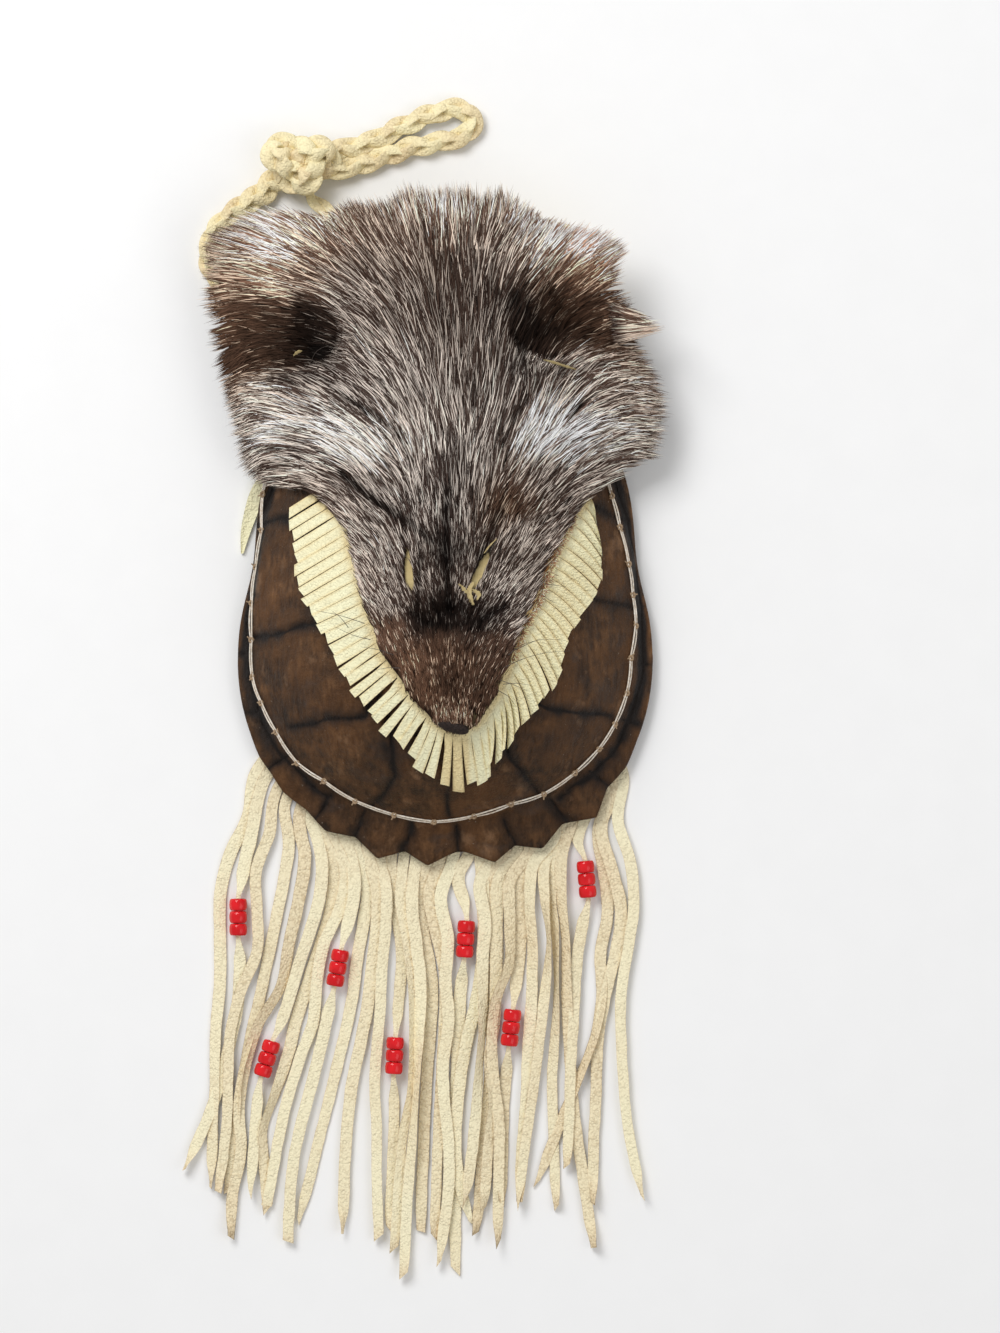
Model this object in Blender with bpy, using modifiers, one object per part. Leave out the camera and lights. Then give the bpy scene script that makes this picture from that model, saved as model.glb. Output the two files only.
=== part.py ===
"""A hide pouch on its back: a turtle carapace laced to a buckskin back, closed by a fox-face fur flap.

X runs across the pouch, Y towards the carrying strap and Z up through the carapace. The origin is on the
underside of the back panel, where the pouch rests. Lengths are in millimetres until an object is made.
"""

import math

import bmesh
import bpy
import numpy as np
from mathutils import Matrix, Vector

MM = 0.001
GAP = 0.35  # clearance between pieces that lie on each other

# Carapace
SHELL_MID_Y = -27.0  # where the carapace is widest
SHELL_HALF_WIDTH = 103.75
SHELL_TAIL = 99.0  # from the widest line to the notches of the tail edge
SHELL_HEAD = 165.0  # from the widest line to where the whole carapace would end
SHELL_POWER = 2.2
SHELL_WALL = 3.0
SHELL_RIM_Z = 8.0
TOOTH_REACH = 7.0
TEETH = (  # where each tooth's tip is, in degrees, and its share of the reach
    (209.0, 0.42), (220.5, 0.3), (235.9, 0.55), (251.7, 1.0), (265.2, 1.0), (283.4, 1.0), (296.6, 1.0),
    (312.8, 1.0), (328.0, 0.5),
)
TOOTH_HALF_ANGLE = 8.0
WAIST = 0.047  # the edge's draw-in on each side, as a share of its radius
WAIST_TURN = 65.0  # degrees from the head end
WAIST_REACH = 14.0
MOUTH_Y = 90.0  # the head end is trimmed here, which makes the mouth

# Lacing line, where the carapace is sewn to the back
LACE_HALF_WIDTH = 96.0
LACE_TAIL = 84.0
LACE_HEAD = 160.0
LACE_POWER = 2.1
LACE_Z = 16.0
DOME_RISE = 48.0
DOME_POWER = 2.6
LACE_RADIUS = 0.95
LACE_LIFT_SLOPE = 1.15  # the lace stands off the carapace along this slope
KNOT_SWELL = 1.75  # a knot's radius over the lace's
LACE_KNOTS = 26
KNOT_HALF_ANGLE = 0.012  # radians round the carapace
LACE_END_ANGLES = (132.0, 408.0)
HOLE_RADIUS = 1.2

# Back panel
BACK_WALL = 1.7
BACK_SHARE = 0.975  # of the lacing line
BACK_EDGE_Z = 8.4
BACK_TOP_HALF_WIDTH = 92.0
BACK_TOP_SHARE = 1.0744  # of the lip's own reach, so that the lip cuts the outline's top off
BACK_TOP_POWER = 3.5
BACK_TURN = 0.78  # share of the radius where the edge starts to turn up

# Hinge of the flap, along the top of the back panel
LIP_Y = 188.0
LIP_Z = 41.0
CORNER_START = 54.0  # past this distance from the middle the lip is lower, clear of the flap's swing
CORNER_REACH = 9.0
CORNER_DROP = 1.6
HINGE_Y = 186.0
HINGE_Z = 47.2
ROLL_RADIUS = 3.2
ROLL_HALF_LENGTH = 56.0
DROOP_START = 68.0  # the hide droops past this distance from the middle
DROOP = 20.0
DROOP_REACH = 40.0

# Fur flap: (Y, left edge, right edge) of the hide with its fur
FLAP_EDGES = (
    (189.0, -58.0, 50.0),
    (183.0, -88.0, 60.0),
    (176.0, -106.0, 77.0),
    (166.0, -112.0, 84.0),
    (152.0, -114.0, 86.0),
    (138.0, -114.0, 91.0),
    (122.0, -112.0, 96.0),
    (105.0, -108.0, 102.0),
    (86.0, -104.0, 105.0),
    (72.0, -99.0, 99.0),
    (61.0, -88.0, 87.0),
    (50.0, -62.0, 72.0),
    (35.0, -49.0, 61.0),
    (5.0, -42.0, 48.0),
    (-25.0, -33.0, 36.0),
    (-46.0, -20.0, 28.0),
    (-60.0, -8.0, 20.0),
    (-67.5, 1.0, 11.0),
)
FLAP_COLUMNS = 20
FLAP_ROWS = 29
FLAP_EDGE_THICKNESS = 3.0
FLAP_EDGE_ROUND = 0.32  # share of the half width over which the edge rounds
FLAP_THICKNESS = (
    (-67.5, 6.0),
    (-30.0, 6.5),
    (10.0, 5.0),
    (45.0, 6.5),
    (80.0, 11.0),
    (140.0, 11.0),
    (189.0, 7.0),
)
MOUTH_EASE = 2.4  # the hide bridges the bend at the mouth's edge
SIDE_REST_Z = 16.0  # what the flap lies on where it hangs past the carapace
# (X, Y, X spread, Y spread, height) of each swelling or hollow of the face
FLAP_RELIEF = (
    (18.0, 120.0, 34.0, 46.0, 7.0),
    (-70.0, 84.0, 26.0, 15.0, 8.0),
    (80.0, 92.0, 20.0, 20.0, 9.0),
    (-62.0, 120.0, 15.0, 13.0, -9.0),
    (54.0, 134.0, 19.0, 14.0, -10.0),
    (-98.0, 138.0, 12.0, 26.0, 6.0),
    (-66.0, 152.0, 30.0, 10.0, 5.0),
    (86.0, 146.0, 10.0, 22.0, 7.0),
    (-28.0, 52.0, 14.0, 14.0, 4.0),
    (38.0, 56.0, 14.0, 14.0, 4.0),
    (7.0, 22.0, 5.0, 26.0, -2.5),
    (6.0, -7.0, 24.0, 4.0, -3.0),
    (5.0, -36.0, 13.0, 20.0, 6.0),
    (5.0, -62.0, 7.0, 5.0, 2.0),
)
EYE_LENGTH = 25.0
EYE_WIDTH = 4.6
EYES = (("left", -17.0, 12.0, 94.0), ("right", 17.0, 12.0, 66.0))  # centre and angle of each slit

# Buckskin lining with its short fringe: (root X, root Y, tip X, tip Y), round the edge from left to right
LINING_WALL = 1.5
LINING_TOP_Y = 172.0
LINING_UPPER_LEFT = ((-50.0, 172.0), (-58.0, 132.0), (-64.0, 96.0), (-65.0, 72.0))
LINING_UPPER_RIGHT = ((70.0, 66.0), (66.0, 96.0), (60.0, 132.0), (48.0, 172.0))
SHORT_FRINGE = (
    (-58.0, 58.0, -78.0, 46.0),
    (-44.0, 22.0, -73.0, 5.0),
    (-38.0, -3.0, -62.0, -14.0),
    (-29.0, -30.0, -47.0, -44.0),
    (-19.0, -46.0, -34.0, -62.0),
    (-10.0, -58.0, -21.0, -76.0),
    (0.0, -66.0, -3.0, -91.5),
    (8.0, -68.0, 9.0, -94.5),
    (17.0, -66.0, 21.0, -90.0),
    (27.0, -52.0, 32.0, -78.0),
    (33.0, -34.0, 48.0, -54.0),
    (40.0, -15.0, 60.0, -38.0),
    (47.0, 0.0, 66.0, -10.0),
    (54.0, 20.0, 79.0, 8.0),
    (62.0, 37.0, 82.0, 24.0),
    (72.0, 52.0, 80.0, 44.0),
)
SHORT_STRIPS = 56
SHORT_CUT = 0.09  # share of a strip's pitch that the cut takes
LINING_MIDDLE = (8.0, 52.0)
LINING_RINGS = (0.9, 0.76, 0.6, 0.42, 0.2)
LINING_RING = 32
LINING_LIFT = 1.5  # over what the flap lies on
LINING_EDGE_LIFT = 0.6

# Long fringe: the points that each strip passes after it leaves the carapace, the last one its tip
FRINGE_ANGLES = (206.0, 334.0)
FRINGE_WALL = 1.1
FRINGE_WIDTH = 6.4
FRINGE_TIP_WIDTH = 5.2
ROOT_SHARE = 0.84  # a strip is this much narrower in the seam
FRINGE_LAYERS = 3
FRINGE_LAYER_RISE = 1.42
FRINGE_FLOOR = 0.25
STRIP_POINTS = 12
BAND_Z = 8.4
BAND_SHARES = (0.992, 1.03)
LONG_STRIPS = (
    ((-98.0, -105.0), (-107.0, -133.0), (-113.0, -190.0), (-118.0, -295.0)),
    ((-96.0, -112.0), (-103.0, -145.0), (-104.0, -200.0), (-120.0, -262.0), (-131.0, -286.0)),
    ((-85.0, -105.0), (-94.0, -133.0), (-106.0, -200.0), (-110.0, -262.0), (-114.0, -297.0)),
    ((-79.0, -110.0), (-86.0, -165.0), (-102.0, -236.0), (-109.0, -297.0)),
    ((-72.0, -112.0), (-79.0, -175.0), (-94.0, -246.0), (-107.0, -300.0), (-107.5, -320.0)),
    ((-64.0, -120.0), (-75.0, -190.0), (-92.0, -240.0), (-98.0, -298.0)),
    ((-58.0, -124.0), (-70.0, -196.0), (-83.0, -230.0), (-91.0, -262.0), (-89.0, -306.0)),
    ((-52.0, -128.0), (-60.0, -190.0), (-78.0, -246.0), (-90.0, -304.0)),
    ((-47.0, -130.0), (-54.0, -184.0), (-64.0, -232.0), (-76.0, -278.0), (-79.0, -322.0)),
    ((-41.0, -134.0), (-45.0, -186.0), (-58.0, -250.0), (-74.0, -312.0)),
    ((-36.0, -134.0), (-37.0, -190.0), (-47.0, -246.0), (-52.0, -318.0)),
    ((-31.0, -134.0), (-32.0, -190.0), (-34.5, -250.0), (-33.5, -320.0)),
    ((-27.0, -134.0), (-22.0, -180.0), (-25.5, -230.0), (-26.0, -268.0), (-28.0, -316.0)),
    ((-22.0, -136.0), (-17.0, -190.0), (-20.0, -250.0), (-26.0, -326.0)),
    ((-16.0, -138.0), (-12.0, -200.0), (-16.0, -262.0), (-21.5, -339.0)),
    ((-11.0, -138.0), (-7.0, -196.0), (-10.0, -252.0), (-12.5, -317.0)),
    ((-6.0, -136.0), (0.0, -190.0), (-3.0, -250.0), (-5.0, -320.0)),
    ((0.0, -136.0), (4.0, -186.0), (-1.0, -236.0), (2.0, -290.0), (-3.0, -333.0)),
    ((7.0, -134.0), (10.0, -152.0), (7.0, -205.0), (5.0, -270.0), (5.0, -337.0)),
    ((12.0, -136.0), (17.0, -190.0), (8.0, -235.0), (9.0, -300.0), (13.0, -313.0)),
    ((17.0, -138.0), (19.0, -190.0), (16.0, -250.0), (10.0, -303.0)),
    ((23.0, -134.0), (24.0, -180.0), (22.0, -244.0), (15.0, -318.0)),
    ((29.0, -134.0), (26.0, -170.0), (25.0, -230.0), (19.0, -306.0)),
    ((35.0, -134.0), (33.0, -176.0), (27.5, -246.0), (27.0, -323.0)),
    ((41.0, -130.0), (38.0, -175.0), (33.0, -213.0), (29.0, -262.0), (28.0, -303.0)),
    ((46.0, -128.0), (44.0, -176.0), (41.0, -240.0), (37.0, -302.0)),
    ((52.0, -126.0), (52.0, -170.0), (46.0, -230.0), (36.0, -304.0)),
    ((57.0, -122.0), (56.0, -180.0), (54.0, -250.0), (56.0, -305.0)),
    ((62.0, -118.0), (61.0, -180.0), (64.0, -250.0), (74.5, -325.0)),
    ((67.0, -114.0), (71.0, -140.0), (66.0, -180.0), (63.0, -240.0), (61.0, -284.0)),
    ((73.0, -110.0), (76.0, -155.0), (78.0, -205.0), (62.0, -252.0), (46.0, -293.0)),
    ((79.0, -104.0), (88.0, -155.0), (78.0, -212.0), (74.0, -303.0)),
    ((86.0, -98.0), (95.0, -140.0), (88.5, -196.0), (90.0, -250.0), (99.0, -300.0)),
)

# Pony beads, in threes: the strip that carries them and the Y of the middle one
BEAD_RADIUS = 4.5
BEAD_LENGTH = 6.0
BEAD_HOLE_RADIUS = 1.9
BEAD_ROUND = 1.5
BEAD_SPACE = 6.25
BEAD_SIDES = 10
DETOUR_START = 8.0  # a strip keeps its distance this far past the beads of another
DETOUR_REACH = 26.0
BEADED_STRIPS = (
    (1, -159.0),
    (5, -230.0),
    (8, -184.5),
    (12, -228.5),
    (18, -170.0),
    (24, -214.5),
    (29, -140.0),
)
THREAD_WIDTH = 2.3  # a strip folded to pass through its beads
NARROW_REACH = 12.0

# Braided strap: two legs, a knot and a loop, all lying beyond the pouch
LEG_RADIUS = 5.0
LOOP_RADIUS = 4.2
LEG_END_SHARE = 0.6
KNOT_CENTRE = (-72.5, 219.5)
KNOT_SIZE = (21.5, 17.0, 12.5)
KNOT_TURN = -10.0
LEFT_LEG = (
    (-62.05, 138.07, 18.04), (-66.4, 139.0, 15.8), (-73.0, 141.0, 11.2), (-80.5, 143.2, 7.6),
    (-89.0, 146.0, 5.0), (-99.0, 149.5, 4.0), (-108.0, 154.0, 3.9), (-116.0, 160.5, 4.0),
    (-120.3, 169.0, 4.3), (-119.8, 179.0, 4.7), (-114.0, 188.5, 5.1), (-105.5, 195.5, 5.3),
    (-96.5, 201.0, 5.3), (-87.25, 208.7, 5.3),
)
RIGHT_LEG = (
    (-48.0, 172.15, 24.65), (-48.8, 176.1, 20.7), (-52.2, 183.6, 14.2), (-55.3, 190.0, 8.6),
    (-60.3, 196.0, 6.0), (-66.85, 201.3, 5.4),
)
LOOP = (
    (-53.6, 226.27, 6.9), (-45.0, 227.6, 5.4), (-38.0, 230.0, 4.6), (-30.0, 233.6, 4.5),
    (-20.0, 238.6, 4.5), (-10.0, 242.8, 4.5), (-1.0, 245.8, 4.5), (7.0, 246.6, 4.5),
    (12.6, 243.6, 4.5), (13.8, 238.2, 4.5), (9.6, 233.6, 4.5), (2.0, 231.0, 4.5),
    (-8.0, 229.2, 4.5), (-18.0, 227.0, 4.5), (-28.0, 223.8, 4.5), (-38.0, 220.2, 4.6),
    (-45.0, 218.0, 5.4), (-51.9, 216.35, 6.85),
)

# Leather end that shows at the left side
SIDE_END = (
    (-86.0, 66.0, 4.5, 9.0), (-93.0, 56.0, 3.4, 8.5), (-97.5, 44.0, 1.0, 7.0), (-100.5, 33.0, 0.6, 4.5),
    (-102.0, 23.5, 0.4, 1.2),
)


def clear_scene():
    for item in list(bpy.data.objects):
        bpy.data.objects.remove(item)


def make_collection(name, hidden=False):
    collection = bpy.data.collections.new(name)
    collection.hide_render = hidden
    bpy.context.scene.collection.children.link(collection)
    return collection


def make_material(name, colour, roughness, metallic=0.0):
    material = bpy.data.materials.new(name)
    material.use_nodes = True
    shader = material.node_tree.nodes["Principled BSDF"]
    shader.inputs["Base Color"].default_value = (*colour, 1.0)
    shader.inputs["Roughness"].default_value = roughness
    shader.inputs["Metallic"].default_value = metallic
    return material


def add_object(name, data, collection, material):
    item = bpy.data.objects.new(name, data)
    collection.objects.link(item)
    if material is not None:
        data.materials.append(material)
    return item


def smooth_step(value):
    value = min(1.0, max(0.0, value))
    return value * value * (3 - 2 * value)


def curve_radius(angle, half_width, tail, head, power):
    """Distance from the widest line's middle to a superellipse whose two ends differ."""
    across = abs(math.cos(angle)) / half_width
    along = abs(math.sin(angle)) / (tail if math.sin(angle) < 0 else head)
    return (across**power + along**power) ** (-1 / power)


def lace_radius(angle):
    return curve_radius(angle, LACE_HALF_WIDTH, LACE_TAIL, LACE_HEAD, LACE_POWER)


def rim_radius(angle):
    """The carapace's edge without its teeth."""
    from_head = abs(math.degrees(angle) % 360 - 90)
    waist = WAIST * math.exp(-(((from_head - WAIST_TURN) / WAIST_REACH) ** 2))
    return (1 - waist) * curve_radius(angle, SHELL_HALF_WIDTH, SHELL_TAIL, SHELL_HEAD, SHELL_POWER)


def tooth(angle):
    """How far the serrated tail edge stands out, from 0 to 1."""
    turn = math.degrees(angle) % 360
    return max(share * max(0.0, 1 - abs(turn - tip) / TOOTH_HALF_ANGLE) ** 1.2 for tip, share in TEETH)


def shell_point(angle, share):
    """A point of the carapace's outer face: share 0 is its middle, 1 the lacing line and 2 the edge."""
    inner = lace_radius(angle)
    if share <= 1:
        radius = inner * share
        height = LACE_Z + DOME_RISE * (1 - share**DOME_POWER)
    else:
        outer = rim_radius(angle) + TOOTH_REACH * tooth(angle)
        radius = inner + (outer - inner) * (share - 1)
        height = SHELL_RIM_Z + (LACE_Z - SHELL_RIM_Z) * (2 - share) ** 1.2
    return Vector((radius * math.cos(angle), SHELL_MID_Y + radius * math.sin(angle), height))


def shell_height(x, y):
    """Height of the carapace's outer face, level past its edge."""
    angle = math.atan2(y - SHELL_MID_Y, x)
    radius = math.hypot(x, y - SHELL_MID_Y)
    inner = lace_radius(angle)
    if radius <= inner:
        return LACE_Z + DOME_RISE * (1 - (radius / inner) ** DOME_POWER)
    share = (radius - inner) / (rim_radius(angle) - inner)
    return SHELL_RIM_Z + (LACE_Z - SHELL_RIM_Z) * max(0.0, 1 - share) ** 1.2


def back_height(x, y):
    """Underside of the back panel: flat on the ground, with its edge turned up."""
    angle = math.atan2(y - SHELL_MID_Y, x)
    share = math.hypot(x, y - SHELL_MID_Y) / back_radius(angle)
    turn = smooth_step((share - BACK_TURN) / (1 - BACK_TURN))
    top = smooth_step((y - MOUTH_Y) / (LIP_Y - MOUTH_Y))
    edge = BACK_EDGE_Z + (LIP_Z - BACK_EDGE_Z) * top
    drop = CORNER_DROP * smooth_step((abs(x) - CORNER_START) / CORNER_REACH)
    return turn * min(edge, flap_support(x, y) - 2 * BACK_WALL - drop)


def back_radius(angle):
    if math.sin(angle) < 0:
        return BACK_SHARE * lace_radius(angle)
    half_width = BACK_SHARE * LACE_HALF_WIDTH
    lip_reach = LIP_Y - SHELL_MID_Y
    radius = curve_radius(angle, half_width, LACE_TAIL, BACK_TOP_SHARE * lip_reach, BACK_TOP_POWER)
    inside = BACK_SHARE * lace_radius(angle)
    share = smooth_step((inside * math.sin(angle) + SHELL_MID_Y - MOUTH_Y - 2.0) / 20.0)
    radius = inside + (radius - inside) * share
    return min(radius, lip_reach / max(1e-6, math.sin(angle)))


def smooth_line(points, count):
    """Evenly spaced points on a smooth curve through the given ones."""
    given = np.array(points, float)
    lengths = np.concatenate([[0.0], np.cumsum(np.linalg.norm(np.diff(given, axis=0), axis=1))])
    slopes = np.gradient(given, lengths, axis=0)
    found = []
    for at in np.linspace(0.0, lengths[-1], count):
        index = int(np.clip(np.searchsorted(lengths, at, side="right") - 1, 0, len(given) - 2))
        span = lengths[index + 1] - lengths[index]
        t = (at - lengths[index]) / span
        start, end = given[index], given[index + 1]
        leave, arrive = slopes[index] * span, slopes[index + 1] * span
        across = start * (2 * t**3 - 3 * t**2 + 1) + end * (3 * t**2 - 2 * t**3)
        found.append(across + leave * (t**3 - 2 * t**2 + t) + arrive * (t**3 - t**2))
    return found


def table_value(table, at, column=1):
    """Reads a table of stations, smooth between them, at a value of its first column."""
    rows = sorted(table)
    places = [row[0] for row in rows]
    index = int(np.clip(np.searchsorted(places, at) - 1, 0, len(rows) - 2))
    share = smooth_step((at - places[index]) / (places[index + 1] - places[index]))
    even = (at - places[index]) / (places[index + 1] - places[index])
    share = 0.5 * share + 0.5 * min(1.0, max(0.0, even))
    return rows[index][column] + (rows[index + 1][column] - rows[index][column]) * share


def mapped_grid(name, columns, rows, place, collection, material):
    """A grid whose points go where place(u, v) puts them, facing up."""
    mesh = bmesh.new()
    bmesh.ops.create_grid(mesh, x_segments=columns, y_segments=rows, size=0.5)
    for point in mesh.verts:
        point.co = Vector(place(point.co.x + 0.5, point.co.y + 0.5)) * MM
    bmesh.ops.remove_doubles(mesh, verts=mesh.verts, dist=0.02 * MM)
    mesh.normal_update()
    if sum(face.normal.z * face.calc_area() for face in mesh.faces) < 0:
        bmesh.ops.reverse_faces(mesh, faces=mesh.faces)
    data = bpy.data.meshes.new(name)
    mesh.to_mesh(data)
    mesh.free()
    data.shade_smooth()
    return add_object(name, data, collection, material)


def add_wall(item, thickness, side):
    """Thickens an open surface; side -1 grows it away from its face, 1 out of it."""
    wall = item.modifiers.new("wall", "SOLIDIFY")
    wall.thickness = thickness * MM
    wall.offset = side
    return wall


def cut(item, cutter):
    boolean = item.modifiers.new("cut", "BOOLEAN")
    boolean.operation = "DIFFERENCE"
    boolean.object = cutter
    cutter.hide_render = True
    cutter.display_type = "WIRE"


def tube(name, points, radii, collection, material, sides=2):
    """A round rod through the points, as thick at each as its radius says."""
    data = bpy.data.curves.new(name, "CURVE")
    data.dimensions = "3D"
    data.bevel_depth = MM
    data.bevel_resolution = sides
    data.use_fill_caps = True
    spline = data.splines.new("POLY")
    spline.points.add(len(points) - 1)
    for control, point, radius in zip(spline.points, points, radii):
        control.co = (*(Vector(point) * MM), 1.0)
        control.radius = radius
    return add_object(name, data, collection, material)


def build_carapace(parts, cutters, material):
    dome_rings, margin_rings = 6, 2
    rings = dome_rings + margin_rings

    def place(u, v):
        ring = v * rings
        share = ring / dome_rings if ring <= dome_rings else 1 + (ring - dome_rings) / margin_rings
        return shell_point(2 * math.pi * u, share)

    shell = mapped_grid("carapace", 72, rings, place, parts, material)
    add_wall(shell, SHELL_WALL, -1)
    bpy.ops.mesh.primitive_cube_add(size=1)
    trim = bpy.context.object
    trim.name = "mouth_trim"
    depth = SHELL_HEAD
    trim.location = (0, (MOUTH_Y + depth / 2) * MM, 0)
    trim.scale = (3 * SHELL_HALF_WIDTH * MM, depth * MM, 4 * (LACE_Z + DOME_RISE) * MM)
    move_to(trim, cutters)
    cut(shell, trim)
    cut(shell, lace_hole_cutter(cutters))
    return shell


def move_to(item, collection):
    for held in list(item.users_collection):
        held.objects.unlink(item)
    collection.objects.link(item)


def knot_angles():
    """Where the sewing holes go, each with a knot of the lace over it."""
    return [math.radians(angle) for angle in np.linspace(*LACE_END_ANGLES, LACE_KNOTS)]


def lace_hole_cutter(cutters):
    """One mesh with a small drill for every sewing hole, each square to the carapace."""
    mesh = bmesh.new()
    for angle in knot_angles():
        middle = shell_point(angle, 1.0)
        slope = (shell_point(angle, 0.98) - shell_point(angle, 1.04)).normalized()
        around = (shell_point(angle + 0.01, 1.0) - shell_point(angle - 0.01, 1.0)).normalized()
        out = slope.cross(around).normalized()
        turn = out.to_track_quat("Z", "Y").to_matrix().to_4x4()
        turn.translation = middle * MM
        bmesh.ops.create_cone(
            mesh, cap_ends=True, segments=6, radius1=HOLE_RADIUS * MM, radius2=HOLE_RADIUS * MM,
            depth=4 * SHELL_WALL * MM, matrix=turn,
        )
    data = bpy.data.meshes.new("lace_drills")
    mesh.to_mesh(data)
    mesh.free()
    return add_object("lace_drills", data, cutters, None)


def build_lacing(parts, material):
    """A waxed sinew lace on the lacing line, with a knot over each hole."""
    angles = knot_angles()
    points, radii = [], []
    for index, angle in enumerate(angles):
        stops = [(angle - KNOT_HALF_ANGLE, KNOT_SWELL), (angle + KNOT_HALF_ANGLE, KNOT_SWELL)]
        if index + 1 < len(angles):
            reach = 2.6 * KNOT_HALF_ANGLE
            stops += [(angle + reach, 1.0), (angles[index + 1] - reach, 1.0)]
        for at, swell in stops:
            out = Vector((math.cos(at), math.sin(at), LACE_LIFT_SLOPE)).normalized()
            points.append(shell_point(at, 1.0) + out * (LACE_RADIUS * KNOT_SWELL + GAP))
            radii.append(LACE_RADIUS * swell)
    return tube("sinew_lacing", points, radii, parts, material, sides=1)


def build_back_panel(parts, material):

    def place(u, v):
        angle = 2 * math.pi * u
        radius = back_radius(angle) * v**0.7
        x, y = radius * math.cos(angle), SHELL_MID_Y + radius * math.sin(angle)
        return x, y, back_height(x, y)

    panel = mapped_grid("back_panel", 44, 6, place, parts, material)
    add_wall(panel, BACK_WALL, 1)
    return panel


def flap_support(x, y):
    """What the flap lies on: the carapace, then a slope from the mouth to the hinge."""
    on_shell = max(shell_height(x, min(y, MOUTH_Y)), SIDE_REST_Z)
    near_hinge = HINGE_Z - ROLL_RADIUS - DROOP * smooth_step((abs(x) - DROOP_START) / DROOP_REACH)
    share = smooth_step((y - MOUTH_Y) / (HINGE_Y - MOUTH_Y))
    return on_shell + (near_hinge - on_shell) * share


def over_support(x, y, lift):
    """Height of a place that is the lift away from what the flap lies on, measured square to its slope."""
    step = 3.0
    slope_x = (flap_support(x + step, y) - flap_support(x - step, y)) / (2 * step)
    slope_y = (flap_support(x, y + step) - flap_support(x, y - step)) / (2 * step)
    return flap_support(x, y) + lift * math.sqrt(1 + slope_x**2 + slope_y**2)


def flap_under(x, y):
    """Underside of the hide: over the lining, and level with the roll at the hinge."""
    lift = LINING_LIFT + LINING_WALL + 3 * GAP + MOUTH_EASE * math.exp(-(((y - MOUTH_Y) / 14.0) ** 2))
    return over_support(x, y, lift * (1 - smooth_step((y - LINING_TOP_Y) / (HINGE_Y - LINING_TOP_Y))))


def flap_thickness(x, y, edge):
    """Hide and fur together; edge is 0 on the outline and 1 well inside it."""
    swell = sum(
        height * math.exp(-(((x - at_x) / wide) ** 2) - ((y - at_y) / deep) ** 2)
        for at_x, at_y, wide, deep, height in FLAP_RELIEF
    )
    round_share = math.sqrt(max(0.0, 1 - (1 - min(1.0, edge)) ** 2))
    inner = max(FLAP_EDGE_THICKNESS, table_value(FLAP_THICKNESS, y) + swell)
    hinge = smooth_step((HINGE_Y - 2 - y) / 9.0)
    thick = FLAP_EDGE_THICKNESS + (inner - FLAP_EDGE_THICKNESS) * round_share
    return 2 * ROLL_RADIUS * (1 - hinge) + thick * hinge


def flap_grid_point(u, v):
    """(x, y, how far inside the outline) of the flap's grid."""
    top, nose = FLAP_EDGES[0][0], FLAP_EDGES[-1][0]
    y = top + (nose - top) * v
    left, right = table_value(FLAP_EDGES, y, 1), table_value(FLAP_EDGES, y, 2)
    side = 0.5 - 0.5 * math.cos(math.pi * (0.12 + 0.76 * u))
    first, last = (0.5 - 0.5 * math.cos(math.pi * share) for share in (0.12, 0.88))
    x = left + (right - left) * (side - first) / (last - first)
    across = min(x - left, right - x) / max(1.0, (right - left) / 2)
    along = min(1.0, (y - nose) / 12.0)
    return x, y, min(across / FLAP_EDGE_ROUND, along)


def build_flap(parts, cutters, material):
    """The hide with its fur as one soft solid: an upper and a lower sheet that share their outline."""

    def top(u, v):
        x, y, edge = flap_grid_point(u, v)
        return x, y, flap_under(x, y) + flap_thickness(x, y, edge)

    def bottom(u, v):
        x, y, _ = flap_grid_point(u, v)
        return x, y, flap_under(x, y)

    flap = mapped_grid("fur_flap", FLAP_COLUMNS, FLAP_ROWS, top, parts, material)
    lower = mapped_grid("fur_flap_lower", FLAP_COLUMNS, FLAP_ROWS, bottom, cutters, None)
    mesh = bmesh.new()
    mesh.from_mesh(lower.data)
    bmesh.ops.reverse_faces(mesh, faces=mesh.faces)
    mesh.from_mesh(flap.data)
    rims = [edge for edge in mesh.edges if edge.is_boundary]
    bmesh.ops.bridge_loops(mesh, edges=rims)
    bmesh.ops.recalc_face_normals(mesh, faces=mesh.faces)
    mesh.to_mesh(flap.data)
    mesh.free()
    bpy.data.objects.remove(lower)
    for side, x, y, turn in EYES:
        bpy.ops.mesh.primitive_uv_sphere_add(segments=12, ring_count=8, radius=0.5)
        slit = bpy.context.object
        slit.name = f"{side}_eye_cutter"
        slit.location = (x * MM, y * MM, (flap_under(x, y) + 4.0) * MM)
        slit.rotation_euler = (0, 0, math.radians(turn))
        slit.scale = (EYE_LENGTH * MM, EYE_WIDTH * MM, 60.0 * MM)
        move_to(slit, cutters)
        cut(flap, slit)
    return flap


def lining_edge(share):
    """Root and tip of the lining's edge at a share of the way round, counted from its upper left corner."""
    upper_left = [(x, y, x, y) for x, y in LINING_UPPER_LEFT]
    upper_right = [(x, y, x, y) for x, y in LINING_UPPER_RIGHT]
    given = np.array(upper_left + list(SHORT_FRINGE) + upper_right + upper_left[:1], float)
    steps = share * (len(given) - 1)
    index = min(int(steps), len(given) - 2)
    return given[index] + (given[index + 1] - given[index]) * (steps - index)


def even_shares(first, last, count):
    """Shares of the edge that part it from the first to the last into equal lengths."""
    pairs, length, before = [], 0.0, None
    for share in np.linspace(first, last, 240):
        here = lining_edge(share)
        here = Vector((here[0] + here[2], here[1] + here[3])) / 2
        length += (here - before).length if before else 0.0
        pairs.append((length, share))
        before = here
    lengths, shares = zip(*pairs)
    return [float(np.interp(length * step, lengths, shares)) for step in count]


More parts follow.
